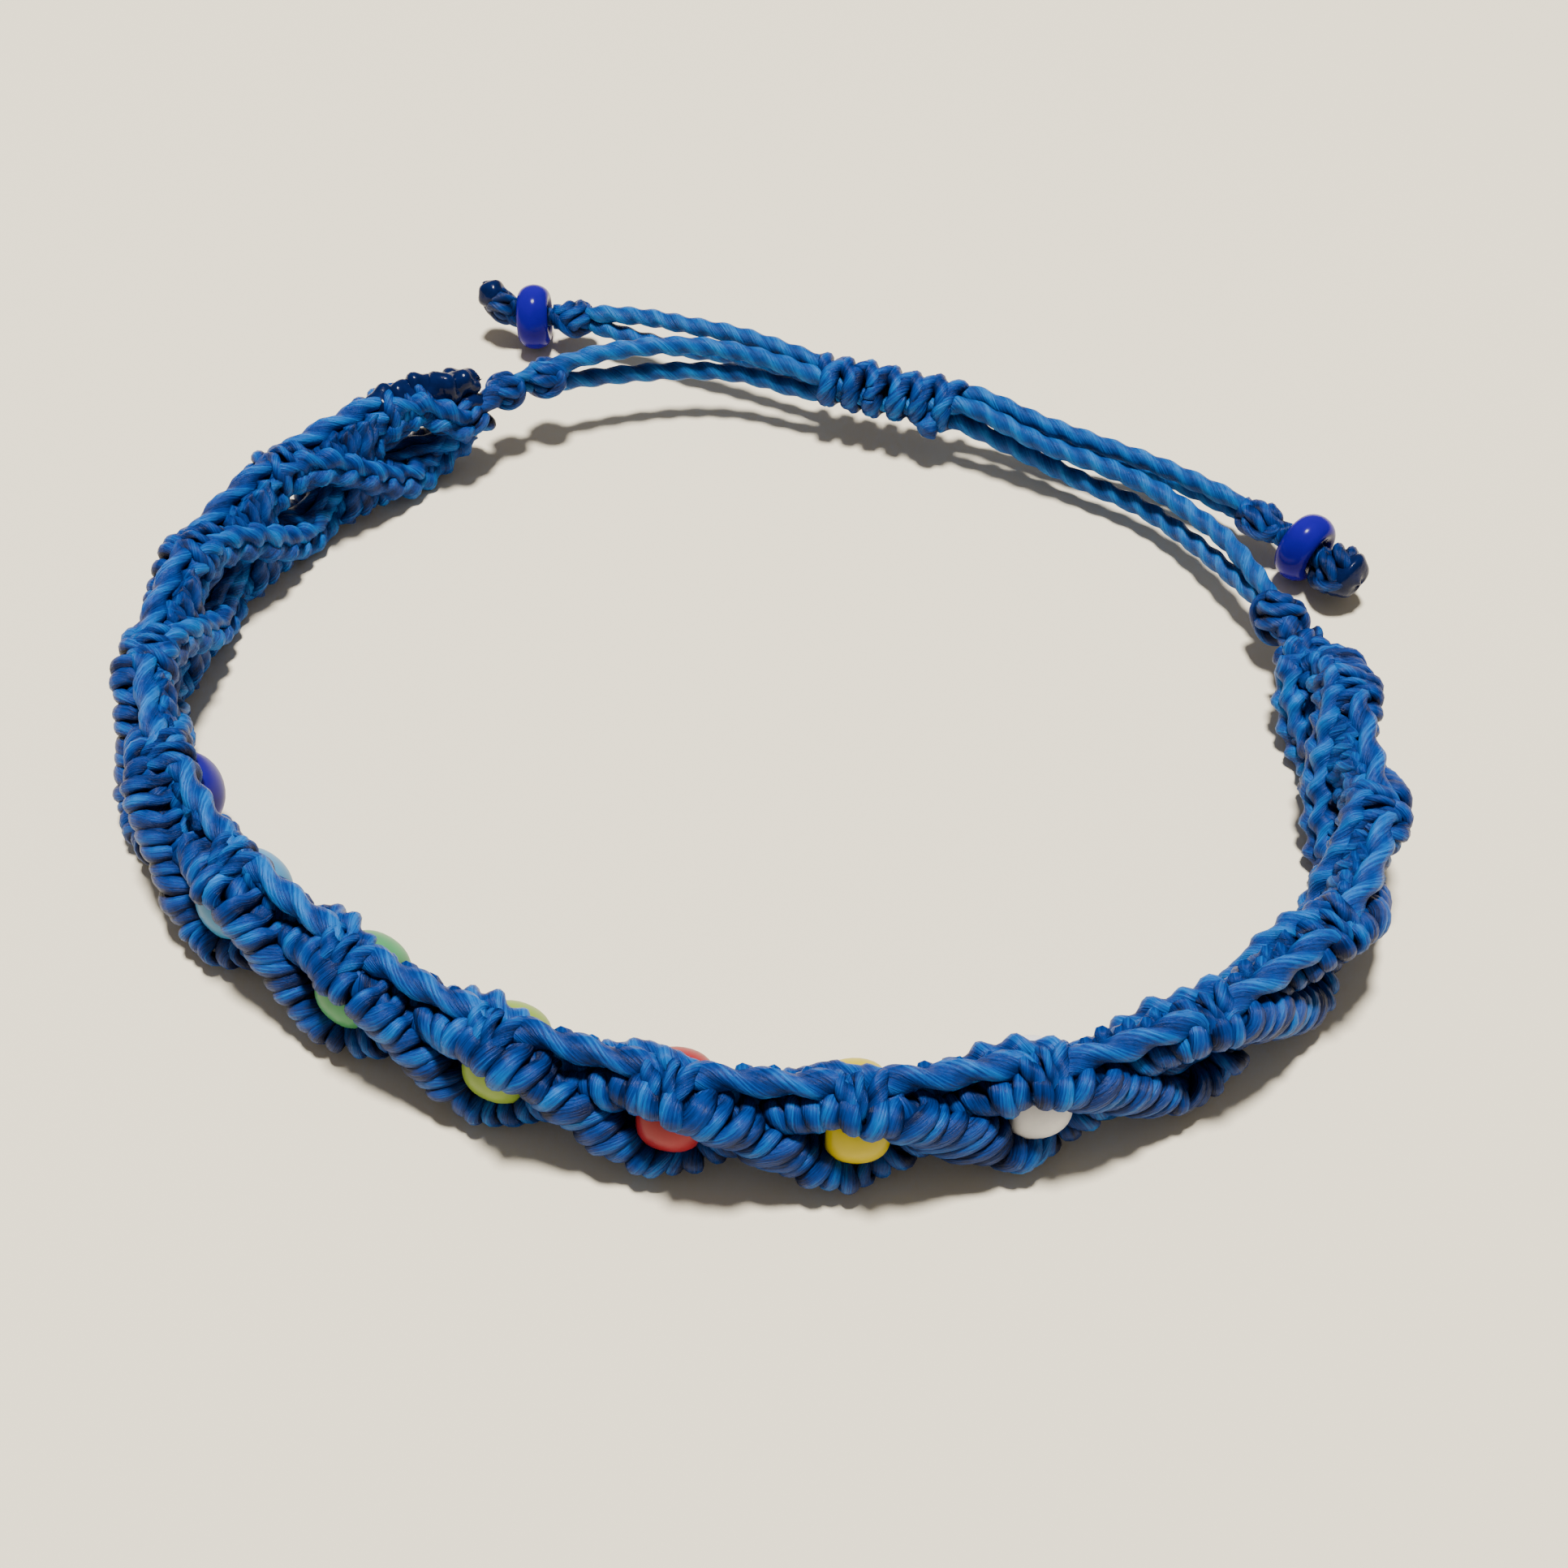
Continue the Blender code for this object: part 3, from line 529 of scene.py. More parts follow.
def peak_loop(middle, shift, lean, thick, seed):
    """A loop over the rim at a peak: an arc in the plane across the band, whose radius is the
    loop's reach less half its thickness, from 50 degrees below the outside over the top to as
    far below the inside. It leans along the band by the cosine and is pulled in over a bead
    as the rim is. Shift and lean are in mm."""
    rng = np.random.default_rng(seed)
    t = np.linspace(radians(-50), radians(230), 30)
    along = middle + (shift + rng.normal(0, 0.06)) * MM + lean * MM * np.cos(t)
    radius = LOOP_REACH - thick / 2
    outward = radius * np.cos(t) - 0.1 * MM - over_bead(middle)
    height = BAND_HEIGHT - 1.35 * MM + radius * np.sin(t)
    path = in_band(along, outward, height)
    _, out, _ = on_loop(along)
    lead = out * np.cos(t)[:, None] + UP * np.sin(t)[:, None]
    # Painted shade on the loop's inner side, over the rim.
    return twisted_cord(path, lead, thick, 0.14, 2.4 * MM, 0.58 + rng.normal(0, 0.1), crease=0.6)


rims = []
loops = []
for top in (True, False):
    for i in range(EYES):
        middle = (i - EYES // 2) * PITCH
        seed = 100 * i + 7 * top
        if i < EYES - 1:
            rims.append(rim_span(middle, top, seed))
        if top:
            loops += [peak_loop(middle, *row, seed + 1 + k) for k, row in enumerate(LOOPS)]
piece("rim_cords", rims, cord_blue, "waxed_cord", "macrame_band")
piece("peak_loops", loops, cord_blue, "waxed_cord", "macrame_band")
print(len(rims), "rim spans and", len(loops), "loops")

# %% [markdown]
# Inside the eyes without beads the spare strands run from crossing to crossing. They bow
# apart and leave a small hole in the middle. In the beaded eyes one strand is threaded through
# the bead. Over and under each crossing six short strands stand in the notch between the
# stitches and close it.

# %% Strands in the eyes
BEAD_EYES = np.arange(-3, 4)
BEAD_INSET = 0.7 * MM  # the beads sit towards the wrist
BEAD_DROP = 0.2 * MM
NOTCH_LEANS = (-1.7, -1.0, -0.3, 0.3, 1.0, 1.7)


def eye_strand(middle, bow, shift, seed):
    """Strand through an eye, with q from -1 to 1: bow up and shift outwards, in mm, times a
    wave, the squared cosine of a quarter turn times q. Small sines make it waver."""
    rng = np.random.default_rng(seed)
    q = np.linspace(-1, 1, 36)
    along = middle + q * PITCH * 0.5
    wave = np.cos(q * pi / 2) ** 2
    height = MIDDLE + bow * MM * wave + 0.12 * MM * np.sin(q * 7 + seed) * wave
    outward = shift * MM * wave + 0.15 * MM * np.sin(q * 5 + seed)
    path = in_band(along, outward, height)
    tone = 0.45 + rng.normal(0, 0.08)
    return twisted_cord(path, upright(path), 0.72 * MM, tone=tone, sides=10)


def notch_strand(crossing, lean, inward, top, seed):
    """Strand behind the notch over a crossing: it stands from the crossing to the rim, leaning
    along the band by a share of its height, and bows inwards by a half wave."""
    rng = np.random.default_rng(seed)
    q = np.linspace(0, 1, 16)
    along = crossing + (lean * (0.25 + 0.75 * q) + rng.normal(0, 0.05)) * MM
    height = MIDDLE + (0.1 + 2.35 * q) * MM
    outward = -(inward + 0.25 * np.sin(q * pi)) * MM
    if not top:
        height = BAND_HEIGHT - height
    lead = np.repeat([[0.0, 1.0, 0.0]], len(q), 0)
    path = in_band(along, outward, height)
    return twisted_cord(path, lead, 0.95 * MM, 0.16, 2.4 * MM, 0.42 + rng.normal(0, 0.1), sides=10)


def bead_thread(middle):
    """Thread through a bead: with q from -1 to 1 it goes in to the bead's bore and down to it
    by the squared cosine of a quarter turn times q."""
    q = np.linspace(-1, 1, 24)
    dip = -BEAD_INSET * np.cos(q * pi / 2) ** 2
    path = in_band(middle + q * PITCH / 2, dip, MIDDLE + BEAD_DROP / BEAD_INSET * dip)
    return twisted_cord(path, upright(path), 0.7 * MM, sides=10)


strands = []
for i in range(EYES):
    eye = i - EYES // 2
    if eye in BEAD_EYES:
        strands.append(bead_thread(eye * PITCH))
    else:
        for bow, shift in ((0.85, -0.5), (-0.85, -0.4), (0.75, 0.35), (-0.7, 0.3)):
            strands.append(eye_strand(eye * PITCH, bow, shift, 10 * i + round(5 * bow) + 5))
for i in range(EYES - 1):
    crossing = (i - EYES // 2 + 0.5) * PITCH
    for top in (True, False):
        for k, lean in enumerate(NOTCH_LEANS):
            strands.append(notch_strand(crossing, lean, 0.45 + 0.25 * (k % 2), top, 20 * i + k))
piece("eye_strands", strands, cord_blue, "waxed_cord", "macrame_band")
print(len(strands), "strands in the eyes and notches")

# %% [markdown]
# The beads are pressed or wound glass, opaque, tumbled to a satin surface: a rounded ring with
# a bore for the thread. A ring's surface is a closed section carried once round the bore's
# axis, so it has no poles and no seams to close.

# %% A bead's surface
BEAD_RADIUS = 2.1 * MM
BEAD_BORE = 0.5 * MM  # radius
BEAD_HALF_LENGTH = 1.3 * MM


def ring_surface(place, axis, radius, bore, half_length, fullness, around=56, section=28):
    """Bead: for angle u round the axis and v round the section, distance from the axis =
    middle + half wall * cos v, shift along the axis = half length * sin v, with cos v and
    sin v raised to the fullness and their signs kept. Below 1 it makes the section squarer
    than an ellipse, and above 1 more pointed."""
    u = 2 * pi * np.arange(around)[:, None] / around
    v = 2 * pi * np.arange(section)[None, :] / section
    full_cos = np.sign(np.cos(v)) * np.abs(np.cos(v)) ** fullness
    full_sin = np.sign(np.sin(v)) * np.abs(np.sin(v)) ** fullness
    far = (radius + bore) / 2 + (radius - bore) / 2 * full_cos
    axis = unit(np.asarray(axis, float))
    side = unit(np.cross(axis, UP))
    up = np.cross(side, axis)
    spoke = side * np.cos(u)[..., None] + up * np.sin(u)[..., None]
    points = np.asarray(place) + spoke * far[..., None] + axis * (half_length * full_sin)[..., None]
    i, j = np.arange(around)[:, None], np.arange(section)[None, :]
    i2, j2 = (i + 1) % around, (j + 1) % section
    quads = np.stack([i * section + j, i * section + j2, i2 * section + j2, i2 * section + j], 2)
    spots = np.zeros((around * section, 3))
    return {
        "points": points.reshape(-1, 3),
        "quads": quads.reshape(-1, 4),
        "tris": np.zeros((0, 3), int),
        "fibre": spots,
        "tone_and_shade": spots,
    }


# %% [markdown]
# Opaque glass has its colour in the body. The furnace leaves it a little cloudy, here in clouds
# of about 1.4 mm, and tumbling leaves fine pits, drawn 0.2 mm wide so that they show at all.

# %% Glass finish
def opaque_glass(name, colour, roughness, gloss):
    """Opaque coloured glass from its sRGB colour, its mean roughness and its specular level.
    The clouds change the colour from 0.86 to 1.08 of itself and the roughness a little."""
    look, tree, shader = new_look(name, IOR=1.45, Specular_IOR_Level=gloss)
    place = node(tree, "ShaderNodeTexCoord")
    clouds = noise(tree, place.outputs["Object"], 700.0, 3.0)
    base = np.array(linear(colour))
    ramp = node(tree, "ShaderNodeValToRGB", {"Fac": clouds})
    ramp.color_ramp.elements[0].color = (*(base[:3] * 0.86), 1.0)
    ramp.color_ramp.elements[0].position = 0.3
    ramp.color_ramp.elements[1].color = (*np.minimum(base[:3] * 1.08, 1.0), 1.0)
    ramp.color_ramp.elements[1].position = 0.7
    worn = {"Value": clouds, "To Min": roughness - 0.06, "To Max": roughness + 0.08}
    wear = node(tree, "ShaderNodeMapRange", worn)
    tree.links.new(wear.outputs["Result"], shader.inputs["Roughness"])
    pits = noise(tree, place.outputs["Object"], 5000.0, 2.0)
    join(tree, shader, ramp.outputs["Color"], pits, 0.15, 0.02 * MM)
    return look


# %% The seven beads
BEADS = [
    ("cobalt", "1C0A80"),
    ("light_blue", "3C86B6"),
    ("green", "46905C"),
    ("lime", "829E3C"),
    ("red", "94202A"),
    ("yellow", "C6B40C"),
    ("white", "DEDEE2"),
]
for eye, (colour_name, colour) in zip(BEAD_EYES, BEADS):
    along = np.array([eye * PITCH])
    centre = in_band(along, np.array([-BEAD_INSET]), np.array([MIDDLE - BEAD_DROP]))[0]
    axis = on_loop(along)[2][0]
    shape = ring_surface(centre, axis, BEAD_RADIUS, BEAD_BORE, BEAD_HALF_LENGTH, 0.95)
    glass = opaque_glass("opaque_glass_" + colour_name, colour, 0.34, 0.22)
    names = "glass_" + colour_name, "bead_" + colour_name
    piece("glass_bead_" + colour_name, [shape], glass, *names)
print(len(BEADS), "beads,", round(2 * BEAD_RADIUS / MM, 1), "mm across")

# %% [markdown]
# Four cords close the loop. Two leave each end of the band, run through the sliding knot and
# end in the tail on the other side. First come the places where they go into a knot, which
# follow from the same sizes as the solids'.

# %% Where the closure's cords start and end
GAP = 0.3 * MM  # between the solids of two pieces that touch
SPREAD = (CORD + GAP) / 2  # half the distance between two cords side by side
GRIP = 0.6 * MM  # length of a cord inside the knot at the band's end
TAIL_GRIP = 0.7 * MM
SLIDE_CENTRE = np.array([0.0069, 0.0251, 0.0032])
SLIDE_BEARING = -15.5
SLIDE_LENGTH = 8.4 * MM
END_KNOT_LENGTH = 2.6 * MM
END_KNOT_HEIGHT = {"left": 3.9 * MM, "right": 2.7 * MM}
END_NOSE = {"left": 0.8 * MM, "right": 2.6 * MM}
# Columns: start in metres, bearing and slope of the tail in degrees, length of its knot, and
# bearing, slope, length and width of its end knot.
TAILS = {
    "left": ((-0.0105, 0.0328, 0.0021), 181.0, -2.0, 0.0024, 150.0, 32.0, 0.0027, 0.0017),
    "right": ((0.0260, 0.0177, 0.0021), -44.0, -2.0, 0.0032, -47.0, -3.0, 0.0025, 0.0025),
}


def heading(bearing, slope=0.0):
    """Direction from degrees round from +X and degrees up: (cos s cos b, cos s sin b, sin s)."""
    b, s = radians(bearing), radians(slope)
    return np.array([cos(s) * cos(b), cos(s) * sin(b), sin(s)])


def end_knot_place(side):
    """Middle of the knot at one end of the band and the direction from the band into it."""
    sign = -1 if side == "left" else 1
    reach = HALF_BAND + END_NOSE[side] + GAP + END_KNOT_LENGTH / 2
    place, _, ahead = on_loop(sign * reach)
    return place[0] + UP * END_KNOT_HEIGHT[side], ahead[0] * sign


def draw_port(side, lift):
    """Start of a cord inside the band's end knot. Lift is 1 for the upper cord, -1 for the
    lower. Here they lie half as far apart as at the sliding knot."""
    place, inward = end_knot_place(side)
    return place + inward * (END_KNOT_LENGTH / 2 - GRIP) + UP * lift * SPREAD * 0.5


def tail_port(side, lift):
    """End of a cord inside its tail knot, with the same lift."""
    start, bearing, slope = TAILS[side][:3]
    return np.array(start) + heading(bearing, slope) * TAIL_GRIP + UP * lift * SPREAD * 0.5


def slide_frame():
    """The sliding knot's axis, and the level direction square to it, away from the beads."""
    axis = heading(SLIDE_BEARING)
    return axis, np.array([-axis[1], axis[0], 0.0])


def slide_port(side, across, lift):
    """Where a cord meets a face of the sliding knot: across is 1 for the far pair, -1 for the
    near one. Lift is the same as before."""
    axis, far = slide_frame()
    sign = -1 if side == "left" else 1
    face = SLIDE_CENTRE + axis * sign * (SLIDE_LENGTH / 2 + GAP)
    return face + far * across * SPREAD + UP * lift * SPREAD


for side in ("left", "right"):
    print(side, "cords start at", [round(c / MM, 1) for c in draw_port(side, 1)], "mm")

# %% [markdown]
# The solids stop each cord at the sliding knot; here each is one length, through the points
# that the solids use. Inside the sliding knot the four cords make half a turn together, so
# that each comes out on the other side without crossing another.

# %% Routes of the four cords
BUNDLE_RADIUS = 0.62 * MM  # of the four cords' middles inside the sliding knot
ROUTE_STEP = 0.14 * MM
CORD_ROUTES = {
    "tail_left_upper": [
        (-0.0016, 0.0289, 0.0039), (-0.0048, 0.0302, 0.0036), (-0.0072, 0.0315, 0.0031),
    ],
    "tail_left_lower": [
        (-0.0016, 0.0287, 0.0026), (-0.0048, 0.0298, 0.0022), (-0.0073, 0.0310, 0.0018),
    ],
    "draw_left_upper": [
        (-0.0016, 0.0269, 0.0042), (-0.0046, 0.0269, 0.0045), (-0.0089, 0.0257, 0.0047),
    ],
    "draw_left_lower": [
        (-0.0016, 0.0268, 0.0028), (-0.0050, 0.0267, 0.0029), (-0.0092, 0.0256, 0.0031),
    ],
    "tail_right_upper": [
        (0.0153, 0.0226, 0.0034), (0.0187, 0.0212, 0.0031), (0.0213, 0.0201, 0.0029),
        (0.0236, 0.0189, 0.0027),
    ],
    "tail_right_lower": [
        (0.0153, 0.0232, 0.0021), (0.0187, 0.0220, 0.0018), (0.0213, 0.0210, 0.0016),
        (0.0236, 0.0199, 0.0015),
    ],
    "draw_right_upper": [
        (0.0153, 0.0212, 0.0031), (0.0187, 0.0196, 0.0029), (0.0212, 0.0179, 0.0029),
        (0.0231, 0.0159, 0.0029), (0.0246, 0.0136, 0.0031),
    ],
    "draw_right_lower": [
        (0.0143, 0.0220, 0.0019), (0.0176, 0.0201, 0.0015), (0.0208, 0.0181, 0.0014),
        (0.0231, 0.0155, 0.0015),
    ],
}
# Each cord: the half that starts at the band, and the half that ends in the tail.
CORDS = {
    "cord_left_one": ("draw_left_upper", "tail_right_lower"),
    "cord_left_two": ("draw_left_lower", "tail_right_upper"),
    "cord_right_one": ("draw_right_lower", "tail_left_upper"),
    "cord_right_two": ("draw_right_upper", "tail_left_lower"),
}


def cord_route(first, second):
    """Points from the band's end knot through the sliding knot to the tail. Inside the knot
    the cord goes half a turn round the knot's axis, evenly with the distance along it."""
    side, other = first.split("_")[1], second.split("_")[1]
    lift = 1 if first.endswith("upper") else -1
    axis, far = slide_frame()
    onward = axis * (1 if side == "left" else -1)
    turn_start = np.arctan2(lift, -1)
    points = [draw_port(side, lift), *reversed(CORD_ROUTES[first])]
    points.append(slide_port(side, -1, lift))
    for share in (0.14, 0.32, 0.5, 0.68, 0.86):
        turn = turn_start + pi * share
        middle = SLIDE_CENTRE + onward * SLIDE_LENGTH * (share - 0.5)
        points.append(middle + (far * np.cos(turn) + UP * np.sin(turn)) * BUNDLE_RADIUS)
    points.append(slide_port(other, 1, -lift))
    points += [*CORD_ROUTES[second], tail_port(other, 1 if second.endswith("upper") else -1)]
    return spaced(smooth_line(np.array(points, float), steps=30), ROUTE_STEP)


routes = {name: cord_route(*halves) for name, halves in CORDS.items()}
for name, route in routes.items():
    print(name, "is", round(lengths_along(route)[-1] / MM, 1), "mm long")

# %% [markdown]
# The knots at the band's ends and on the tails are overhand knots of two cords, pulled tight.
# Pulled so hard, such a knot is a small ball: a few wraps lie side by side at a slant, and one
# strand crosses over them. A true overhand path would leave holes that the real knots don't
# have.

# %% A tight knot
def frame_along(axis):
    """Two directions square to an axis, the first of them level, and the axis, each 1 long."""
    axis = unit(np.asarray(axis, float))
    side = unit(np.cross(axis, UP))
    return side, np.cross(side, axis), axis


def tight_knot(place, axis, width, length, cord=0.8 * MM, turn=0.0, turns=3.4, tone=0.5):
    """Ball of wraps: a cord on a sphere goes round a slanted axis while it moves from pole to
    pole, and one strand crosses over it at 1.2 times the radius. Both duck into the ball at
    their ends, by 0.6 of the radius. Offsets along the knot's own axis are stretched by length
    over width. Turn is the way that the wraps slant, in radians round that axis."""
    side, up, axis = frame_along(axis)
    slant = unit(0.55 * axis + 0.83 * (side * np.cos(turn) + up * np.sin(turn)))
    first, second, slant = frame_along(slant)
    surfaces = []
    # Size, rounds, share of the way from pole to pole at the start and the end, first angle.
    wraps, over = (1.0, turns, 0.10, 0.90, 0.0), (1.2, 0.8, 0.40, 0.62, 1.0)
    for grow, rounds, low, high, start in (wraps, over):
        q = np.linspace(0, 1, 26 * max(int(round(rounds)), 2))
        polar = pi * (low + (high - low) * q)
        around = 2 * pi * rounds * q + start
        if grow > 1.0:
            spoke = slant * np.cos(around)[:, None] + first * np.sin(around)[:, None]
            spoke = unit(spoke + second * np.cos(polar)[:, None])
        else:
            spoke = first * np.cos(around)[:, None] + second * np.sin(around)[:, None]
            spoke = spoke * np.sin(polar)[:, None] + slant * np.cos(polar)[:, None]
        duck = 1 - 0.6 * np.abs(2 * q - 1)[:, None] ** 14
        offset = spoke * duck * grow * (width - cord) / 2
        stretch = (offset * axis).sum(1, keepdims=True) * (length / width - 1)
        path = np.asarray(place) + offset + axis * stretch
        # Painted shade on each wrap's side towards the middle of the ball.
        surfaces.append(twisted_cord(path, spoke, cord, 0.12, 3.2 * MM, tone, crease=0.7))
    return surfaces


# %% [markdown]
# Each knot is filled by a short thick cord, so that no light comes through it. At a band end
# it starts inside the band. The left one has a second lump, a knot more in the two cords. The
# fillers' low tones are painted shade inside the knots.

# %% The knots tied
knots = {}
for side, turn, width in (("left", 2.1, 2.2 * MM), ("right", 1.2, 2.8 * MM)):
    place, inward = end_knot_place(side)
    ball = tight_knot(place, inward, width, 1.05 * width, 0.82 * MM, turn)
    foot = place - inward * 2.4 * MM - UP * 0.3 * MM
    neck = smooth_line([foot, place - inward * 1.3 * MM, place], 12)
    core_width = np.interp(np.arange(len(neck)), [0, len(neck) - 1], [1.0 * MM, 0.7 * width])
    # Tone 0.2: painted shade inside the knot.
    filler = twisted_cord(neck, upright(neck), core_width, tone=0.2)
    knots["end_knot_" + side] = [*ball, filler]
upper, lower = routes["cord_left_one"], routes["cord_left_two"]
step = 13  # points along the two cords from the first lump to the middle of the second
second_place = (upper[step] + lower[step]) / 2
second_axis = unit(upper[step + 8] - upper[step - 8] + lower[step + 8] - lower[step - 8])
knots["end_knot_left"] += tight_knot(second_place, second_axis, 2.4 * MM, 2.7 * MM, 0.85 * MM, 2.2)
for side, turn in (("left", 1.05), ("right", 2.5)):
    start, bearing, slope, length = TAILS[side][:4]
    out = heading(bearing, slope)
    middle = np.array(start) + out * length / 2
    core_ends = np.array([np.array(start) + out * 0.2 * MM, middle + out * length / 2])
    core = spaced(core_ends, 0.3 * MM)
    ball = tight_knot(middle, out, 2.3 * MM, length + 0.4 * MM, 0.8 * MM, turn)
    # Tone 0.35: painted shade inside the knot.
    filler = twisted_cord(core, upright(core), 1.5 * MM, tone=0.35)
    knots["tail_knot_" + side] = [*ball, filler]
for name, shapes in knots.items():
    piece("tied_" + name, shapes, cord_blue, "waxed_cord", name)

# %% [markdown]
# The sliding knot is a short sinnet of square knots tied round the four cords. Each square
# knot shows as two loops that lean opposite ways, so here it is a row of rings round the
# bundle, tilted to and fro, with dark gaps where they part; each ring also has painted shade
# on its inner side. The trimmed and melted end of its cord stands out as a small nub on the
# near side.

# %% Sliding knot
RINGS = 12
RING_RADIUS = 1.04 * MM
RING_CORD = 1.08 * MM
RING_TILT = 0.42 * MM


def tilted_ring(middle, axis, far, radius, tilt, thickness, seed):
    """Ring of cord round an axis. With t once round it moves along the axis by tilt times
    cos t, plus a small random shift. Its radius is times 1 + 0.06 cos(2t + seed)."""
    rng = np.random.default_rng(seed)
    t = np.linspace(0, 2 * pi, 41) + 0.6 * seed
    lean = tilt * np.cos(t) + rng.normal(0, 0.03) * MM
    squash = 1 + 0.06 * np.cos(2 * t + seed)
    spoke = far * np.cos(t)[:, None] + UP * np.sin(t)[:, None]
    path = middle + spoke * (radius * squash)[:, None] + axis * lean[:, None]
    tone = 0.55 + rng.normal(0, 0.12)
    # Painted shade on the ring's inner side, towards the bundle.
    return twisted_cord(path, spoke, thickness, 0.13, 2.6 * MM, tone, crease=0.8)


axis, far = slide_frame()
rings = []
for i in range(RINGS):
    middle = SLIDE_CENTRE + axis * (i - 5.5) * (SLIDE_LENGTH - 0.8 * MM) / 11.4
    tilt = RING_TILT if i % 2 else -RING_TILT
    rings.append(tilted_ring(middle, axis, far, RING_RADIUS, tilt, RING_CORD, i))
near = unit(-far - UP * 0.6)
nub_foot = SLIDE_CENTRE + axis * 0.33 * SLIDE_LENGTH + near * 0.6 * MM
nub_end = nub_foot + near * 1.5 * MM - axis * 0.2 * MM
nub_line = smooth_line([nub_foot, nub_foot + near * 0.8 * MM, nub_end], 10)
nub_width = CORD * np.array([1.6] * (len(nub_line) - 5) + [1.55, 1.4, 1.15, 0.8, 0.35])
rings.append(twisted_cord(nub_line, np.repeat([axis], len(nub_line), 0), nub_width))
slide = piece("sliding_knot", rings, cord_blue, "waxed_cord", "slide_knot")
print("the sliding knot is", RINGS, "rings and a nub")

# %% [markdown]
# Each tail carries one fire-polished ultramarine glass bead, held by a knot whose cut ends
# were melted with a flame. Melted polyester goes dark, glassy and lumpy.

# %% Melted ends
melt, tree, shader = new_look("melted_polyester_navy", Roughness=0.2, Specular_IOR_Level=0.14)
place = node(tree, "ShaderNodeTexCoord")
soot = noise(tree, place.outputs["Object"], 1500.0, 3.0)
ramp = node(tree, "ShaderNodeValToRGB", {"Fac": soot})
ramp.color_ramp.elements[0].color = linear("020A24")
ramp.color_ramp.elements[1].color = linear("081C50")
join(tree, shader, ramp.outputs["Color"], soot, 0.5, 0.12 * MM)


BLOB_AROUND = 36
BLOB_ROWS = 20


def melted_blob(place, axis, radii, lump, seed):
    """Lumpy drop. With u round it and v from pole to pole, its point is size times
    (r0 cos u cos v, r1 sin u cos v, r2 sin v), and size is
    1 + lump (sin(3u + seed) cos 2v + cos(2u - seed) sin 5v). Fans close the poles."""
    u = 2 * pi * np.arange(BLOB_AROUND)[:, None] / BLOB_AROUND
    v = np.linspace(-pi / 2 + 0.02, pi / 2 - 0.02, BLOB_ROWS)[None, :]
    wave = np.sin(3 * u + seed) * np.cos(2 * v) + np.cos(2 * u - seed) * np.sin(5 * v)
    size = 1 + lump * wave
    side, up, axis = frame_along(axis)
    points = np.asarray(place) + side * (radii[0] * size * np.cos(u) * np.cos(v))[..., None]
    points = points + up * (radii[1] * size * np.sin(u) * np.cos(v))[..., None]
    points = points + axis * (radii[2] * size * np.sin(v))[..., None]
    first_row = BLOB_ROWS * np.arange(BLOB_AROUND)
    low = first_row[:, None] + np.arange(BLOB_ROWS - 1)[None, :]
    low_after = np.roll(low, -1, axis=0)
    quads = np.stack([low, low_after, low_after + 1, low + 1], 2).reshape(-1, 4)
    last_row = (first_row + BLOB_ROWS - 1)[::-1]
    pole = np.full(BLOB_AROUND, BLOB_AROUND * BLOB_ROWS)
    first_fan = np.stack([np.roll(first_row, -1), first_row, pole], 1)
    last_fan = np.stack([np.roll(last_row, -1), last_row, pole + 1], 1)
    poles = np.stack([points[:, 0].mean(0), points[:, -1].mean(0)])
    spots = np.zeros((BLOB_AROUND * BLOB_ROWS + 2, 3))
    return {
        "points": np.vstack([points.reshape(-1, 3), poles]),
        "quads": quads,
        "tris": np.vstack([first_fan, last_fan]),
        "fibre": spots,
        "tone_and_shade": spots,
    }


# %% [markdown]
# Along a tail come its bead, thread, knot and melted tip. The end knot turns off sideways.

# %% Tail beads and their end knots
TAIL_BEAD_RADIUS = 1.88 * MM
TAIL_BEAD_BORE = 0.6 * MM
TAIL_BEAD_REACH = 0.85 * MM  # from its middle to its end, as its solid has it
ultramarine = opaque_glass("fire_polished_glass_ultramarine", "1A0080", 0.17, 0.08)
for side in ("left", "right"):
    start, bearing, slope, length, end_bearing, end_slope, end_length, end_width = TAILS[side]
    out = heading(bearing, slope)
    middle = np.array(start) + out * (length + GAP + TAIL_BEAD_REACH)
    shape = ring_surface(middle, out, TAIL_BEAD_RADIUS, TAIL_BEAD_BORE, 0.92 * MM, 1.05)
    names = "glass_ultramarine", "tail_bead_" + side
    glass = piece("glass_tail_bead_" + side, [shape], ultramarine, *names)
    turned = heading(end_bearing, end_slope)
    foot = middle + out * (TAIL_BEAD_REACH + GAP)
    centre = foot + turned * end_length * 0.42
    thread = spaced(smooth_line([middle - out * 1.1 * MM, middle, foot, centre], 10), 0.2 * MM)
    widths = [1.1 * MM, 0.75 * end_width]
    strand_width = np.interp(np.arange(len(thread)), [0, len(thread) - 1], widths)
    strand = twisted_cord(thread, upright(thread), strand_width, tone=0.4)
    turn = 0.8 if side == "left" else 2.5
    wound = tight_knot(centre, turned, 1.2 * end_width, end_length * 1.05, 0.8 * MM, turn, tone=0.4)
    names = "melted_cord", "tail_end_knot_" + side
    tied = piece("tied_tail_end_" + side, [strand, *wound], cord_waxy, *names)
    tip = centre + turned * end_length * 0.27
    width = end_width * 0.52
    cap = melted_blob(tip, turned, (width, width, end_length * 0.30), 0.06, 2.0)
    drop = piece("melted_tail_tip_" + side, [cap], melt, *names)

# %% [markdown]
# At its left end the band was finished by cutting the spare cords along the top rim and
# melting them into a crust. It is a few drops run together.

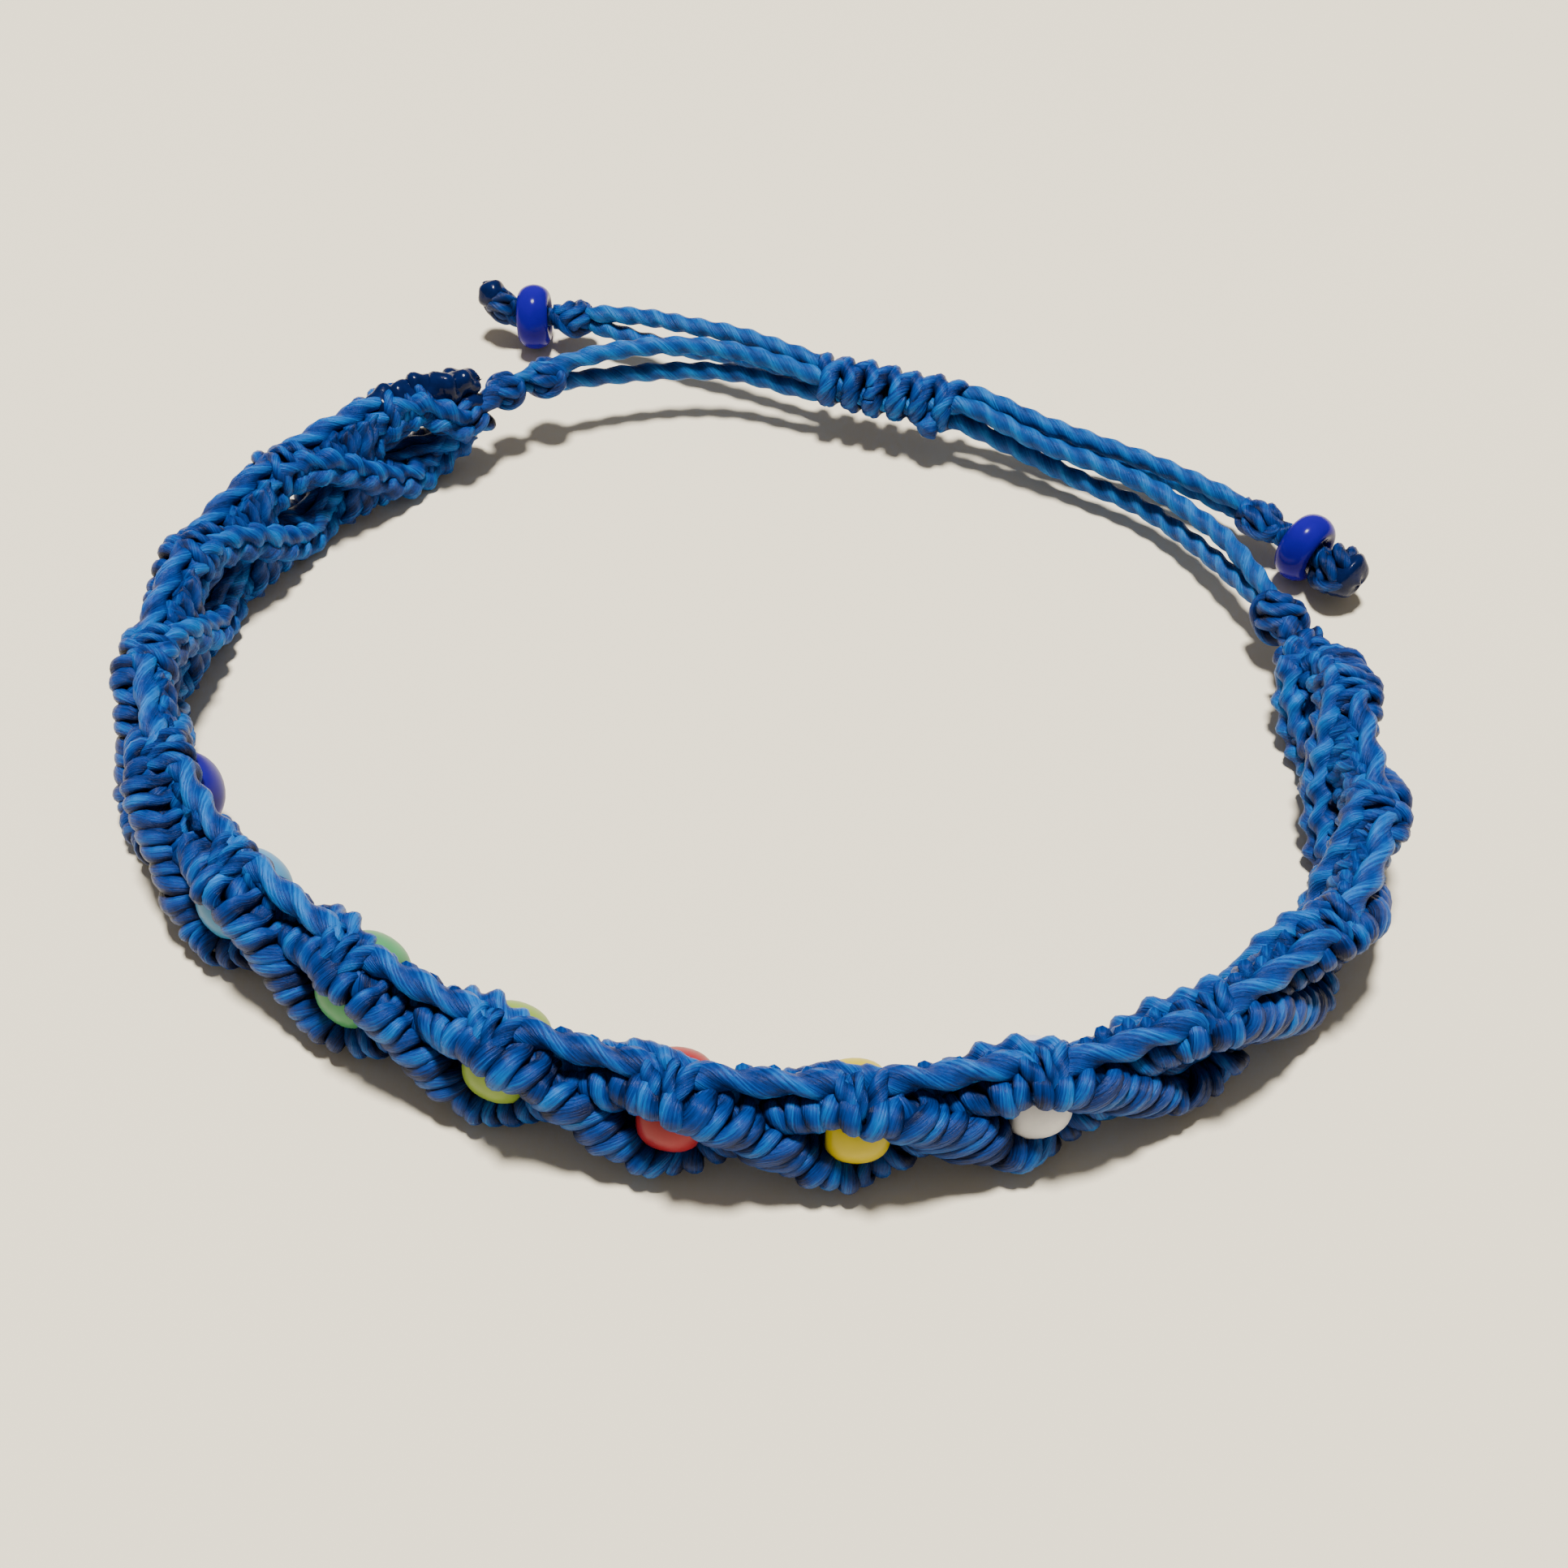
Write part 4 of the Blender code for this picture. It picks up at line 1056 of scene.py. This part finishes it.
# %% Melted crust on the band's end
# One drop a row, in mm: how far back from the tip, the radius across, and the height.
CRUST = (
    (0.8, 0.95, 5.0),
    (1.8, 1.12, 5.05),
    (2.9, 1.05, 5.1),
    (3.9, 0.95, 5.15),
    (4.9, 0.85, 5.2),
    (0.7, 0.85, 4.0),
)
drops = []
for k, (back, size, height) in enumerate(CRUST):
    along = np.array([-HALF_BAND - END_NOSE["left"] + (back + 0.4) * MM])
    centre = in_band(along, np.array([(0.2 - 0.25 * (k % 2)) * MM]), np.array([height * MM]))[0]
    ahead = on_loop(along)[2][0]
    drops.append(melted_blob(centre, ahead, (size * MM, size * MM, 1.1 * MM), 0.14, k + 1.0))
piece("melted_crust", drops, melt, "melted_cord", "macrame_band")
print("the crust is", len(drops), "drops")

# %% [markdown]
# Each closure cord is one twisted length on its route. Four of them go through the sliding
# knot and two end in each tail, and each replaces the solids of its two halves.

# %% The four closure cords
for name, (first, second) in CORDS.items():
    route = routes[name]
    to_end = np.minimum(np.arange(len(route)), np.arange(len(route))[::-1])
    full = 1.22 * CORD * np.interp(to_end, [0, 8], [0.5, 1.0])  # narrower where the knots grip it
    shape = twisted_cord(route, upright(route), full, 0.11, 3.2 * MM, 0.60)
    nodes = [f"{half.split('_')[0]}_cord_{half.split('_', 1)[1]}" for half in (first, second)]
    made = piece(name, [shape], cord_lighter, "waxed_cord", *nodes)

# %% [markdown]
# The floor is plain and pale, and the light is one wide soft lamp nearly overhead and a
# little behind, which puts a soft shadow in front of the band, as in the photograph.

# %% Floor and light
bpy.ops.mesh.primitive_plane_add(size=3.0)
floor = bpy.context.object
floor.name = "floor"
pale, tree, shader = new_look("matt_pale_floor", Roughness=0.95)
shader.inputs["Base Color"].default_value = linear("F4E9CF")
floor.data.materials.append(pale)


def soft_lamp(name, place, target, size, power, colour):
    """Round area lamp at a place, turned to a target. Size is its width and power is in watts."""
    lamp = bpy.data.lights.new(name, "AREA")
    lamp.shape = "DISK"
    lamp.size = size
    lamp.energy = power
    lamp.color = colour
    made = bpy.data.objects.new(name, lamp)
    made.location = place
    made.rotation_euler = (Vector(target) - Vector(place)).to_track_quat("-Z", "Y").to_euler()
    bpy.context.scene.collection.objects.link(made)


soft_lamp("overhead", (-0.01, 0.045, 0.56), (0, 0, 0), 0.095, 7.3, (1.0, 0.98, 0.95))
world = bpy.data.worlds.new("room")
bpy.context.scene.world = world
world.use_nodes = True
sky = world.node_tree.nodes["Background"]
sky.inputs["Color"].default_value = (1.0, 0.92, 0.82, 1.0)
sky.inputs["Strength"].default_value = 0.22
print("floor and", len(bpy.data.lights), "lamp")
